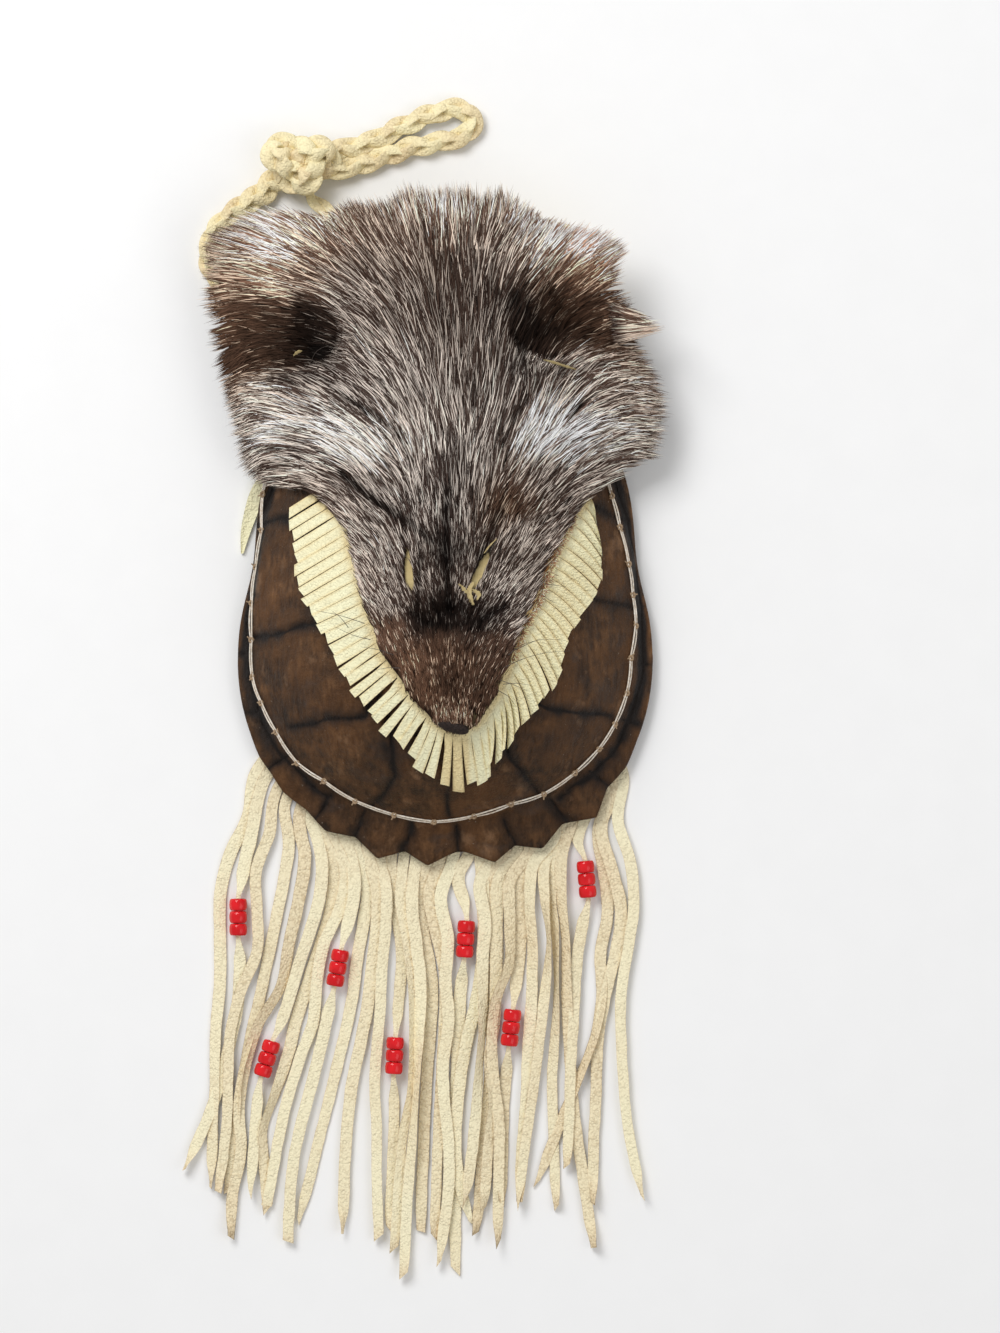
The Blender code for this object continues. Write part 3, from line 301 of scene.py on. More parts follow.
def smooth_step(value):
    value = np.clip(value, 0.0, 1.0)
    return value * value * (3 - 2 * value)


def bell(value):
    return np.exp(-np.square(value))


def waves(x, y, size, seed, count=9):
    """Smooth irregular hills between about -1 and 1, each about the size across."""
    draw = np.random.default_rng(seed)
    turns = draw.uniform(0, math.pi, count)
    pitches = 2 * math.pi / (size * draw.uniform(1.2, 2.8, count))
    phases = draw.uniform(0, 2 * math.pi, count)
    total = 0
    for turn, pitch, phase in zip(turns, pitches, phases):
        total = total + np.sin((x * math.cos(turn) + y * math.sin(turn)) * pitch + phase)
    return total / (0.6 * count)


def curve_radius(angle, half_width, tail, head, power):
    across = np.abs(np.cos(angle)) / half_width
    along = np.abs(np.sin(angle)) / np.where(np.sin(angle) < 0, tail, head)
    return (across**power + along**power) ** (-1 / power)


def lace_radius(angle):
    return curve_radius(angle, LACE_HALF_WIDTH, LACE_TAIL, LACE_HEAD, LACE_POWER)


def rim_radius(angle):
    from_head = np.abs(np.degrees(angle) % 360 - 90)
    waist = WAIST * bell((from_head - WAIST_TURN) / WAIST_REACH)
    return (1 - waist) * curve_radius(angle, SHELL_HALF_WIDTH, SHELL_TAIL, SHELL_HEAD, SHELL_POWER)


def tooth(angle):
    """How far out each direction is on a tooth of the tail edge, from 0 to the tooth's own share."""
    turn = np.degrees(angle) % 360
    slopes = [np.clip(1 - np.abs(turn - tip) / TOOTH_HALF_ANGLE, 0, 1) ** 1.2 for tip, _ in TEETH]
    return np.max([share * slope for (_, share), slope in zip(TEETH, slopes)], 0)


def shell_height(x, y):
    angle = np.arctan2(y - SHELL_MID_Y, x)
    radius = np.hypot(x, y - SHELL_MID_Y)
    inner = lace_radius(angle)
    dome = LACE_Z + DOME_RISE * (1 - np.minimum(1.0, radius / inner) ** DOME_POWER)
    share = (radius - inner) / (rim_radius(angle) - inner)
    margin = SHELL_RIM_Z + (LACE_Z - SHELL_RIM_Z) * np.clip(1 - share, 0, 1) ** 1.2
    return np.where(radius <= inner, dome, margin)


def flap_support(x, y):
    on_shell = np.maximum(shell_height(x, np.minimum(y, MOUTH_Y)), SIDE_REST_Z)
    near_hinge = HINGE_Z - ROLL_RADIUS - DROOP * smooth_step((np.abs(x) - DROOP_START) / DROOP_REACH)
    share = smooth_step((y - MOUTH_Y) / (HINGE_Y - MOUTH_Y))
    return on_shell + (near_hinge - on_shell) * share


def over_support(x, y, lift):
    step = 3.0
    slope_x = (flap_support(x + step, y) - flap_support(x - step, y)) / (2 * step)
    slope_y = (flap_support(x, y + step) - flap_support(x, y - step)) / (2 * step)
    return flap_support(x, y) + lift * np.sqrt(1 + slope_x**2 + slope_y**2)


def flap_under(x, y):
    lift = LINING_LIFT + LINING_WALL + 3 * GAP + MOUTH_EASE * bell((y - MOUTH_Y) / 14.0)
    return over_support(x, y, lift * (1 - smooth_step((y - LINING_TOP_Y) / (HINGE_Y - LINING_TOP_Y))))


def table_value(table, at, column=1):
    rows = sorted(table)
    places = np.array([row[0] for row in rows])
    values = np.array([row[column] for row in rows])
    index = np.clip(np.searchsorted(places, at) - 1, 0, len(rows) - 2)
    even = np.clip((at - places[index]) / (places[index + 1] - places[index]), 0, 1)
    share = 0.5 * smooth_step(even) + 0.5 * even
    return values[index] + (values[index + 1] - values[index]) * share


def flap_sides(y):
    """Left and right edge of the hide with its fur."""
    return table_value(FLAP_EDGES, y, 1), table_value(FLAP_EDGES, y, 2)


def flap_edge(x, y):
    """How far inside the flap's outline a place is, 0 on it and 1 where the flap has its full height."""
    left, right = flap_sides(y)
    across = np.minimum(x - left, right - x) / np.maximum(1.0, (right - left) / 2)
    return np.clip(np.minimum(across / FLAP_EDGE_ROUND, (y - FLAP_EDGES[-1][0]) / 12.0), 0, 1)


def flap_top(x, y):
    """Upper side of the fur."""
    swell = sum(h * bell((x - a) / p) * bell((y - b) / q) for a, b, p, q, h in FLAP_RELIEF)
    round_share = np.sqrt(np.clip(1 - (1 - flap_edge(x, y)) ** 2, 0, 1))
    inner = np.maximum(FLAP_EDGE_THICKNESS, table_value(FLAP_THICKNESS, y) + swell)
    hinge = smooth_step((HINGE_Y - 2 - y) / 9.0)
    thick = FLAP_EDGE_THICKNESS + (inner - FLAP_EDGE_THICKNESS) * round_share
    return flap_under(x, y) + 2 * ROLL_RADIUS * (1 - hinge) + thick * hinge


def smooth_line(points, count):
    """Evenly spaced points on a smooth curve through the given ones."""
    given = np.array(points, float)
    lengths = np.concatenate([[0.0], np.cumsum(np.linalg.norm(np.diff(given, axis=0), axis=1))])
    slopes = np.gradient(given, lengths, axis=0)
    found = []
    for at in np.linspace(0.0, lengths[-1], count):
        index = int(np.clip(np.searchsorted(lengths, at, side="right") - 1, 0, len(given) - 2))
        span = lengths[index + 1] - lengths[index]
        t = (at - lengths[index]) / span
        start, end = given[index], given[index + 1]
        leave, arrive = slopes[index] * span, slopes[index + 1] * span
        across = start * (2 * t**3 - 3 * t**2 + 1) + end * (3 * t**2 - 2 * t**3)
        found.append(across + leave * (t**3 - 2 * t**2 + t) + arrive * (t**3 - t**2))
    return found


def grid_faces(rows, columns, wrap=False):
    row = np.arange(rows - 1)[:, None] * columns
    at = np.arange(columns if wrap else columns - 1)[None, :]
    after = (at + 1) % columns
    return np.stack([row + at, row + after, row + columns + after, row + columns + at], -1).reshape(-1, 4)


def dress(item, body, node):
    """Ties a piece to its body and to the node that it stands for."""
    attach(item, body)
    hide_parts(node)


def directions(line):
    """Unit direction of a line at each of its points."""
    along = np.gradient(line, axis=0)
    return along / np.linalg.norm(along, axis=1)[:, None]


def left_of(along):
    """Direction to the left of a flat one."""
    return np.stack([-along[..., 1], along[..., 0]], -1)


def capped_faces(rows, around):
    """Faces of a closed form that is made of rings, with a cap on its first and its last ring."""
    last = (rows - 1) * around
    caps = [list(range(around))[::-1], [last + at for at in range(around)]]
    return grid_faces(rows, around, wrap=True).tolist() + caps


class Pile:
    """Closed pieces that make up one mesh, with a value per point that its material reads."""

    def __init__(self):
        self.points = []
        self.faces = []
        self.shades = []
        self.slots = []
        self.count = 0

    def add(self, points, faces, shade=0.0, slot=0):
        points = np.asarray(points, float).reshape(-1, 3)
        faces = [[corner + self.count for corner in face] for face in faces]
        self.points.append(points)
        self.faces += faces
        self.shades.append(np.broadcast_to(np.asarray(shade, float).ravel(), len(points)))
        self.slots += [slot] * len(faces)
        self.count += len(points)

    def add_ribbon(self, top, bottom, shade=0.0):
        """A thin closed piece between two grids of points that face each other."""
        rows, columns = top.shape[:2]
        total = rows * columns
        faces = grid_faces(rows, columns).tolist()
        faces += (grid_faces(rows, columns)[:, ::-1] + total).tolist()
        index = np.arange(total).reshape(rows, columns)
        rim = np.concatenate([index[0, :-1], index[:-1, -1], index[-1, :0:-1], index[:0:-1, 0]])
        after = np.roll(rim, -1)
        faces += np.stack([after, rim, rim + total, after + total], -1).tolist()
        both = np.concatenate([top.reshape(-1, 3), bottom.reshape(-1, 3)])
        if np.ndim(shade) > 0:
            shade = np.tile(np.asarray(shade).ravel(), 2)
        self.add(both, faces, shade)

    def add_tube(self, line, sides, wide, thick, up, shade=0.0, slot=0):
        """A rod with an oval section along a line; up is the direction of its thin side at each point."""
        line, up = np.asarray(line, float), np.asarray(up, float)
        along = directions(line)
        side = np.cross(along, up)
        side /= np.linalg.norm(side, axis=1)[:, None]
        rise = np.cross(side, along)
        turn = 2 * math.pi * np.arange(sides) / sides
        wide = np.broadcast_to(np.asarray(wide, float), len(line))[:, None, None]
        thick = np.broadcast_to(np.asarray(thick, float), len(line))[:, None, None]
        ring = side[:, None] * wide * np.cos(turn)[None, :, None]
        ring = ring + rise[:, None] * thick * np.sin(turn)[None, :, None]
        if np.ndim(shade) > 0:
            shade = np.repeat(shade, sides)
        self.add(line[:, None] + ring, capped_faces(len(line), sides), shade, slot)

    def make(self, name, materials):
        data = bpy.data.meshes.new(name)
        data.from_pydata((np.concatenate(self.points) * MM).tolist(), [], self.faces)
        shades = data.attributes.new("shade", "FLOAT", "POINT")
        shades.data.foreach_set("value", np.concatenate(self.shades))
        item = bpy.data.objects.new(name, data)
        bpy.context.scene.collection.objects.link(item)
        for material in materials:
            data.materials.append(material)
        data.polygons.foreach_set("material_index", self.slots)
        mesh = bmesh.new()
        mesh.from_mesh(data)
        bmesh.ops.recalc_face_normals(mesh, faces=mesh.faces)
        mesh.to_mesh(data)
        mesh.free()
        data.shade_smooth()
        return item


def sharpen(item, degrees=40.0):
    item.data.set_sharp_from_angle(angle=math.radians(degrees))
    return item


class Finish:
    """A procedural material in the making: a Principled shader and the nodes that lead to it."""

    def __init__(self, name, roughness):
        self.material = bpy.data.materials.new(name)
        self.material.use_nodes = True
        self.tree = self.material.node_tree
        self.shader = self.tree.nodes["Principled BSDF"]
        self.level("Roughness", roughness)
        self.place = self.node("ShaderNodeTexCoord").outputs["Object"]

    def level(self, name, value):
        """Sets one number of the shader, the same all over the surface."""
        self.shader.inputs[name].default_value = value

    def node(self, kind, inputs=(), **settings):
        made = self.tree.nodes.new(kind)
        for key, value in settings.items():
            setattr(made, key, value)
        for key, value in dict(inputs).items():
            if isinstance(value, bpy.types.NodeSocket):
                self.tree.links.new(value, made.inputs[key])
            else:
                made.inputs[key].default_value = value
        return made

    def noise(self, per_metre, detail=3.0, stretch=(1, 1, 1)):
        spread = self.node("ShaderNodeMapping", {"Vector": self.place, "Scale": stretch})
        made = self.node(
            "ShaderNodeTexNoise",
            {"Vector": spread.outputs[0], "Scale": per_metre, "Detail": detail, "Roughness": 0.55},
        )
        return made.outputs["Fac"]

    def cells(self, per_metre):
        """Distance from the middles of irregular cells."""
        made = self.node("ShaderNodeTexVoronoi", {"Vector": self.place, "Scale": per_metre})
        return made.outputs["Distance"]

    def between(self, value, low, high):
        made = self.node("ShaderNodeMapRange", {"Value": value, "From Min": low, "From Max": high})
        return made.outputs[0]

    def mix(self, share, first, second):
        made = self.node("ShaderNodeMix", data_type="RGBA")
        for index, value in ((0, share), (6, first), (7, second)):
            if isinstance(value, bpy.types.NodeSocket):
                self.tree.links.new(value, made.inputs[index])
            else:
                made.inputs[index].default_value = (*value, 1.0)
        return made.outputs[2]

    def product(self, first, second):
        return self.node("ShaderNodeMath", {0: first, 1: second}, operation="MULTIPLY").outputs[0]

    def total(self, first, second):
        return self.node("ShaderNodeMath", {0: first, 1: second}, operation="ADD").outputs[0]

    def attribute(self, name, output):
        return self.node("ShaderNodeAttribute", attribute_name=name).outputs[output]

    def colour(self, socket):
        self.tree.links.new(socket, self.shader.inputs["Base Color"])

    def roughness(self, socket):
        self.tree.links.new(socket, self.shader.inputs["Roughness"])

    def bump(self, height, distance, strength):
        made = self.node("ShaderNodeBump", {"Height": height, "Distance": distance, "Strength": strength})
        self.tree.links.new(made.outputs[0], self.shader.inputs["Normal"])


def make_horn():
    """Old dark horn: its shade runs from worn, -1, over the plain face, 0, to the black of the seams, 1."""
    finish = Finish("horn", 0.6)
    finish.level("Specular IOR Level", 0.2)
    blotch = finish.between(finish.noise(30.0, 6.0), 0.40, 0.64)
    mottle = finish.between(finish.noise(130.0, 6.0, (1.0, 0.7, 1.0)), 0.42, 0.64)
    grain = finish.between(finish.noise(460.0, 5.0, (1.0, 0.22, 0.6)), 0.34, 0.70)
    worn = finish.between(finish.noise(78.0, 7.0, (1.0, 0.6, 1.0)), 0.60, 0.70)
    dusty = finish.between(finish.noise(55.0, 4.0, (0.7, 1.0, 1.3)), 0.58, 0.70)
    specks = finish.between(finish.noise(620.0, 3.0), 0.715, 0.75)
    base = finish.mix(blotch, (0.018, 0.0090, 0.0040), (0.072, 0.029, 0.008))
    for mask, share, colour in (
        (mottle, 0.55, (0.130, 0.061, 0.025)),
        (grain, 0.30, (0.165, 0.080, 0.034)),
        (worn, 0.55, (0.27, 0.150, 0.078)),
        (dusty, 0.5, (0.045, 0.036, 0.032)),
        (specks, 0.7, (0.36, 0.28, 0.22)),
    ):
        base = finish.mix(finish.product(mask, share), base, colour)
    shade = finish.attribute("shade", "Fac")
    base = finish.mix(finish.between(shade, 0.0, 1.0), base, (0.010, 0.0065, 0.0050))
    patchy = finish.product(grain, finish.between(mottle, -0.3, 0.8))
    rust = finish.product(finish.between(shade, 0.0, -1.0), patchy)
    finish.colour(finish.mix(rust, base, (0.38, 0.190, 0.080)))
    dull = finish.node("ShaderNodeMapRange", {"Value": mottle, "To Min": 0.48, "To Max": 0.70})
    finish.roughness(dull.outputs[0])
    fine = finish.total(grain, finish.total(mottle, finish.noise(900.0, 4.0)))
    finish.bump(fine, 0.0008, 0.8)
    return finish.material


def make_hide(name, pale, tan, pebble):
    """Buckskin: its shade runs from pale, 0, over tan, 1, to dark, 2: real stains, and the painted shadow
    along the cut edges of the strips.
    """
    finish = Finish(name, 0.9)
    finish.level("Specular IOR Level", 0.06)
    cloud = finish.between(finish.noise(60.0, 4.0), 0.38, 0.68)
    pores = finish.between(finish.cells(780.0), 0.25, 0.75)
    nap = finish.product(pores, finish.between(finish.noise(420.0, 4.0), 0.3, 0.6))
    shade = finish.attribute("shade", "Fac")
    share = finish.total(shade, finish.product(cloud, 0.20))
    base = finish.mix(finish.between(share, 0.0, 1.0), pale, tan)
    grained = finish.product(nap, finish.total(finish.product(share, pebble), 0.08))
    base = finish.mix(grained, base, (0.42, 0.265, 0.110))
    # Dark at a shade of 2: the real stain, and the painted shadow in the strips' cuts
    finish.colour(finish.mix(finish.between(shade, 1.05, 2.0), base, (0.13, 0.066, 0.026)))
    finish.bump(finish.total(nap, finish.noise(1500.0, 3.0)), 0.0007, 0.75)
    return finish.material


def make_sinew():
    finish = Finish("sinew", 0.55)
    twist = finish.between(finish.noise(700.0, 2.0), 0.3, 0.7)
    finish.colour(finish.mix(twist, (0.60, 0.49, 0.37), (0.88, 0.82, 0.73)))
    finish.bump(twist, 0.0003, 0.5)
    return finish.material


def make_tan_knot():
    finish = Finish("knot_tan", 0.7)
    fleck = finish.noise(900.0, 2.0)
    finish.colour(finish.mix(fleck, (0.14, 0.075, 0.035), (0.55, 0.40, 0.25)))
    finish.bump(fleck, 0.0003, 0.6)
    return finish.material


def make_bead_red():
    finish = Finish("bead_red", 0.10)
    finish.level("Specular IOR Level", 0.05)
    finish.level("Coat Weight", 0.6)
    finish.level("Coat Roughness", 0.04)
    swirl = finish.between(finish.noise(160.0, 2.0), 0.3, 0.7)
    finish.colour(finish.mix(swirl, (0.60, 0.006, 0.010), (0.80, 0.012, 0.018)))
    finish.bump(swirl, 0.0002, 0.3)
    return finish.material


def make_fur():
    """Hair: its colour, painted light and shade included, is on the strands themselves."""
    finish = Finish("fox_hair", 0.55)
    finish.level("Specular IOR Level", 0.04)
    finish.colour(finish.attribute("hair", "Color"))
    return finish.material


def make_skin():
    """Fox hide under its hair: its shade runs from dark, 0, over pale buckskin, 1, to rusty, 2."""
    finish = Finish("fox_skin", 0.9)
    finish.level("Specular IOR Level", 0.05)
    shade = finish.attribute("shade", "Fac")
    mottle = finish.noise(300.0, 3.0)
    dark = finish.mix(mottle, (0.010, 0.006, 0.005), (0.050, 0.028, 0.020))
    pale = finish.mix(mottle, (0.46, 0.33, 0.14), (0.86, 0.72, 0.38))
    rust = finish.mix(finish.between(mottle, 0.42, 0.60), (0.36, 0.160, 0.050), (0.84, 0.62, 0.30))
    base = finish.mix(shade, dark, pale)
    finish.colour(finish.mix(finish.between(shade, 1.05, 1.6), base, rust))
    finish.bump(mottle, 0.0005, 0.6)
    return finish.material


def make_whisker():
    finish = Finish("whisker", 0.4)
    finish.colour(finish.mix(finish.noise(60.0), (0.02, 0.014, 0.012), (0.10, 0.075, 0.060)))
    return finish.material


def make_nose():
    finish = Finish("nose_leather", 0.6)
    finish.level("Specular IOR Level", 0.2)
    pebble = finish.cells(900.0)
    finish.colour(finish.mix(pebble, (0.032, 0.019, 0.015), (0.009, 0.006, 0.005)))
    finish.bump(pebble, 0.0004, 0.8)
    return finish.material


def set_camera():
    """Straight above, as far up as a long lens takes the photograph's frame in."""
    frame_height = FRAME_WIDTH * PHOTO_PIXELS[1] / PHOTO_PIXELS[0]
    data = bpy.data.cameras.new("camera")
    data.sensor_fit = "VERTICAL"
    data.sensor_height = SENSOR_HEIGHT
    data.lens = SENSOR_HEIGHT * (CAMERA_HEIGHT - FOCUS_HEIGHT) / frame_height
    data.clip_end = 20.0
    item = bpy.data.objects.new("camera", data)
    left, top = seen(0, 0)
    item.location = (left * MM + FRAME_WIDTH / 2, top * MM - frame_height / 2, CAMERA_HEIGHT)
    bpy.context.scene.collection.objects.link(item)
    bpy.context.scene.camera = item


def set_light():
    """A big soft lamp up on the left, a weaker one on the right and an even sky."""
    world = bpy.data.worlds.new("studio")
    world.use_nodes = True
    sky = world.node_tree.nodes["Background"]
    sky.inputs["Color"].default_value = (1.0, 1.0, 1.0, 1.0)
    sky.inputs["Strength"].default_value = SKY_STRENGTH
    bpy.context.scene.world = world
    bpy.context.scene.view_settings.view_transform = "Standard"
    for name, place, size, power in LAMPS:
        data = bpy.data.lights.new(name, "AREA")
        data.size = size
        data.energy = power
        lamp = bpy.data.objects.new(name, data)
        lamp.location = place
        lamp.rotation_euler = (-Vector(place)).to_track_quat("-Z", "Y").to_euler()
        bpy.context.scene.collection.objects.link(lamp)


def make_floor():
    """Plain pale paper, a little under the pouch."""
    finish = Finish("paper", 0.9)
    finish.colour(finish.mix(finish.noise(40.0, 2.0), (0.90, 0.90, 0.90), (0.93, 0.93, 0.93)))
    mesh = bmesh.new()
    bmesh.ops.create_grid(mesh, x_segments=8, y_segments=8, size=FLOOR_HALF)
    data = bpy.data.meshes.new("floor")
    mesh.to_mesh(data)
    mesh.free()
    data.materials.append(finish.material)
    floor = bpy.data.objects.new("floor", data)
    floor.location.z = -FLOOR_DROP
    bpy.context.scene.collection.objects.link(floor)


def braid(pile, route, radius, strands, pitch):
    """Flat thongs laid over each other along a route, as wide in all as the radius says at each point."""
    line = np.array(route, float)
    radius = np.broadcast_to(np.asarray(radius, float), len(line))
    reach = np.concatenate([[0], np.cumsum(np.linalg.norm(np.diff(line, axis=0), axis=1))])
    along = directions(line)
    up = np.array((0.0, 0.0, 1.0)) - along * along[:, 2:3]
    up /= np.linalg.norm(up, axis=1)[:, None]
    side = np.cross(along, up)
    for strand in range(strands):
        phase = 2 * math.pi * (reach / pitch + strand / strands)
        across = 0.46 * radius * np.sin(phase)
        rise = 0.34 * radius * (np.sin(2 * phase) if strands > 2 else np.cos(phase))
        middle = line + side * across[:, None] + up * rise[:, None]
        lean = up + side * (0.75 * np.cos(phase))[:, None] * (1 if strands > 2 else 0.3)
        wide = radius * 0.58 * (1 + 0.09 * np.sin(reach * 0.5 + 2 * strand))
        tint = THONG_SHADES[strand % len(THONG_SHADES)]
        tint = tint + 0.25 * waves(reach, strand * 30.0, 9.0, 80 + strand)
        tint = tint + 0.35 * bell((np.sin(phase) + 1) / 0.5)
        pile.add_tube(middle, 14, wide, radius * 0.21, lean, tint)


def leg_radii(count):
    """Half the width of the left leg, a thin twist that opens into a wide plait at the knot."""
    shares = np.linspace(0, 1, count)
    return LEG_RADIUS * (0.52 + 0.16 * smooth_step(shares / 0.5) + 0.62 * smooth_step((shares - 0.5) / 0.4))


def line_length(line):
    return float(np.linalg.norm(np.diff(np.array(line), axis=0), axis=1).sum())


def knot_line():
    """The strap's way through its overhand knot."""
    turn = np.linspace(0.0, 2 * math.pi, 300)[:-1] + 0.35
    flat_x = (np.sin(turn) + 2 * np.sin(2 * turn)) / 3
    flat_y = (np.cos(turn) - 2 * np.cos(2 * turn)) / 3
    inner = np.array(KNOT_SIZE) - (KNOT_THICK * 0.95, KNOT_THICK * 0.95, KNOT_THICK * 0.5)
    x, y, z = flat_x * inner[0], flat_y * inner[1], -np.sin(3 * turn) * inner[2] * 0.66
    turned = math.radians(KNOT_TURN)
    return np.stack(
        [
            KNOT_CENTRE[0] + x * math.cos(turned) - y * math.sin(turned),
            KNOT_CENTRE[1] + x * math.sin(turned) + y * math.cos(turned),
            KNOT_SIZE[2] + FRINGE_FLOOR + z,
        ],
        -1,
    )


def build_strap(material):
    """Two legs from the back of the pouch to a knot, and a loop that leaves the knot and comes back."""
    made = []
    for name, before, points, after, count, strands, pitch, radius, said in (
        ("left_leg", (), LEFT_LEG, LEFT_LEG_END, 190, 3, 34.0, leg_radii(190), LEG_RADIUS * 0.9),
        ("right_leg", (), RIGHT_LEG, RIGHT_LEG_END, 90, 2, 44.0, LEG_RADIUS * 0.78, LEG_RADIUS * 0.9),
        ("loop", LOOP_START, LOOP, LOOP_END, 330, 3, 43.0, LOOP_RADIUS * 1.28, LOOP_RADIUS * 1.2),
    ):
        line = smooth_line((*before, *points, *after), count)
        pile = Pile()
        braid(pile, line, radius, strands, pitch)
        made.append((name, pile.make(f"strap_{name}_braid", [material]), line, said))
    line = knot_line()
    pile = Pile()
    braid(pile, line, KNOT_THICK, 3, line_length(line) / 4)
    knot = pile.make("strap_overhand_knot", [material])
    for name, item, line, radius in made:
        radius = min(radius, line_length(line) / 13)
        dress(item, "pouch", f"strap_{name}")
    dress(knot, "pouch", "strap_knot")


def polyline_distance(x, y, lines):
    """Distance from each place to the nearest of the lines."""
    best = np.full(x.shape, 1e9)
    for line in lines:
        for (ax, ay), (bx, by) in zip(line, line[1:]):
            dx, dy = bx - ax, by - ay
            share = np.clip(((x - ax) * dx + (y - ay) * dy) / (dx * dx + dy * dy), 0, 1)
            best = np.minimum(best, np.hypot(x - ax - share * dx, y - ay - share * dy))
    return best


def scute_seams():
    lines = [[seen(*place) for place in line] for line in SEEN_SEAMS]
    for angle in np.radians(MARGIN_SEAM_ANGLES):
        inner, outer = lace_radius(angle) * 1.015, rim_radius(angle) + 1.0
        spread = [inner, (inner + outer) / 2, outer]
        lines.append([(r * math.cos(angle), SHELL_MID_Y + r * math.sin(angle)) for r in spread])
    border = np.radians(np.linspace(-52, 232, 90))
    reach = lace_radius(border) * 1.02 + 0.8
    lines.append(list(zip(reach * np.cos(border), SHELL_MID_Y + reach * np.sin(border))))
    return lines


def shell_relief(x, y):
    """(height over the smooth carapace, darkness) of its weathered face."""
    warp_x, warp_y = x + 1.5 * waves(x, y, 11.0, 3), y + 1.5 * waves(x, y, 12.0, 4)
    far = polyline_distance(warp_x, warp_y, scute_seams())
    breadth = 1 + 0.35 * waves(x, y, 26.0, 8)
    groove = -0.9 * bell(far / 0.6) - 0.65 * bell(far / (2.6 * breadth)) + 0.30 * bell((far - 3.8) / 1.6)
    rings = 0.14 * np.sin(far * 1.7 + waves(x, y, 18.0, 9)) * smooth_step((far - 3.0) / 4.0)
    rings = rings * smooth_step((22.0 - far) / 14.0)
    wrinkles = 0.22 * waves(x, y, 3.2, 10, 14) * bell((far - 2.5) / 3.0)
    dents = 0.38 * waves(x, y, 22.0, 5) + 0.13 * waves(x, y, 5.0, 6) + 0.07 * waves(x, y, 2.2, 7)
    soot = 0.75 * bell(far / (3.6 * breadth)) * (1 + 0.5 * waves(x, y, 5.0, 12))
    patches = waves(x, y, 4.5, 13, 16)
    dark = np.minimum(0.95 * bell(far / 0.6) + soot, 1.0)
    dark = dark + 0.20 * waves(x, y, 9.0, 14, 16) + 0.10 * patches
    for u, v, reach, strength in SEEN_SPOTS:
        at_x, at_y = seen(u, v)
        near = bell(np.hypot(warp_x - at_x, warp_y - at_y) / (reach / SEEN_PER_MM))
        dark = dark + strength * near * (0.8 + 0.5 * patches)
    return groove + rings + wrinkles + dents, dark


def shell_face(share, inner, outer):
    """Radius and height of the smooth shell: over the dome up to a share of 1, over the margin up to 2."""
    if share <= 1:
        return inner * share, LACE_Z + DOME_RISE * (1 - share**DOME_POWER)
    return inner + (outer - inner) * (share - 1), SHELL_RIM_Z + (LACE_Z - SHELL_RIM_Z) * (2 - share) ** 1.2


def build_carapace(material):
    """The shell, closed all round and cut off straight at the pouch's mouth."""
    around, dome_rings, margin_rings = 480, 54, 14
    angle = 2 * math.pi * np.arange(around) / around
    rows, shades = [], []
    tip = tooth(angle)
    inner = lace_radius(angle)
    outer = rim_radius(angle) + TOOTH_REACH * tip
    dome, margin = np.linspace(0.006, 1.0, dome_rings) ** 0.8, np.linspace(0, 1, margin_rings + 1)[1:]
    for share in (*dome, *(1 + margin)):
        radius, height = shell_face(share, inner, outer)
        if share > 1:
            height = height + 1.3 * tip * (share - 1) * (2.15 - share)
        x, y = radius * np.cos(angle), SHELL_MID_Y + radius * np.sin(angle)
        relief, dark = shell_relief(x, y)
        edge = smooth_step((share - 1.55) / 0.45)
        warm = edge * np.where(x > 0, 0.8, 0.2) * smooth_step((y + 80) / 50)
        sooty = 0.5 * smooth_step((share - 1.02) / 0.2) * smooth_step((y + 90) / 40)
        shades.append(np.clip(dark + sooty * (1 - edge) - warm, -1, 1))
        rows.append(np.stack([x, y, height + relief * (1 - 0.5 * edge)], -1))
    rim = rows[-1]
    out = np.stack([np.cos(angle), np.sin(angle), 0 * angle], -1)
    for step, drop in ((0.45, 0.7), (0.45, 1.8), (-0.2, 2.7)):
        rows.append(rim + out * step - np.array((0, 0, drop)))
        shades.append(shades[-1])
    for share in (1.7, 1.3, 1.0, 0.93, 0.8, 0.6, 0.35, 0.02):
        radius, height = shell_face(share, inner, outer)
        if share <= 1:
            radius = np.maximum(0.2, radius - 1.9 * min(1.0, share * 3))
        height = height - (DOME_WALL if share <= 1 else SHELL_WALL) + 0 * radius
        rows.append(np.stack([radius * np.cos(angle), SHELL_MID_Y + radius * np.sin(angle), height], -1))
        shades.append(0.0 * angle + 0.5)
    faces = capped_faces(len(rows), around)
    pile = Pile()
    pile.add(np.array(rows), faces, np.array(shades))
    shell = pile.make("carapace_shell", [material])
    mesh = bmesh.new()
    mesh.from_mesh(shell.data)
    parts = mesh.verts[:] + mesh.edges[:] + mesh.faces[:]
    cut = bmesh.ops.bisect_plane(
        mesh, geom=parts, plane_co=(0, MOUTH_Y * MM, 0), plane_no=(0, 1, 0), clear_outer=True,
    )
    rims = [part for part in cut["geom_cut"] if isinstance(part, bmesh.types.BMEdge)]
    bmesh.ops.holes_fill(mesh, edges=rims, sides=0)
    mesh.to_mesh(shell.data)
    mesh.free()
    shell.data.shade_smooth()
    sharpen(shell, SHARP_TURN)
    dress(shell, "pouch", "carapace")


def shell_surface(x, y):
    return shell_height(x, y) + shell_relief(x, y)[0]


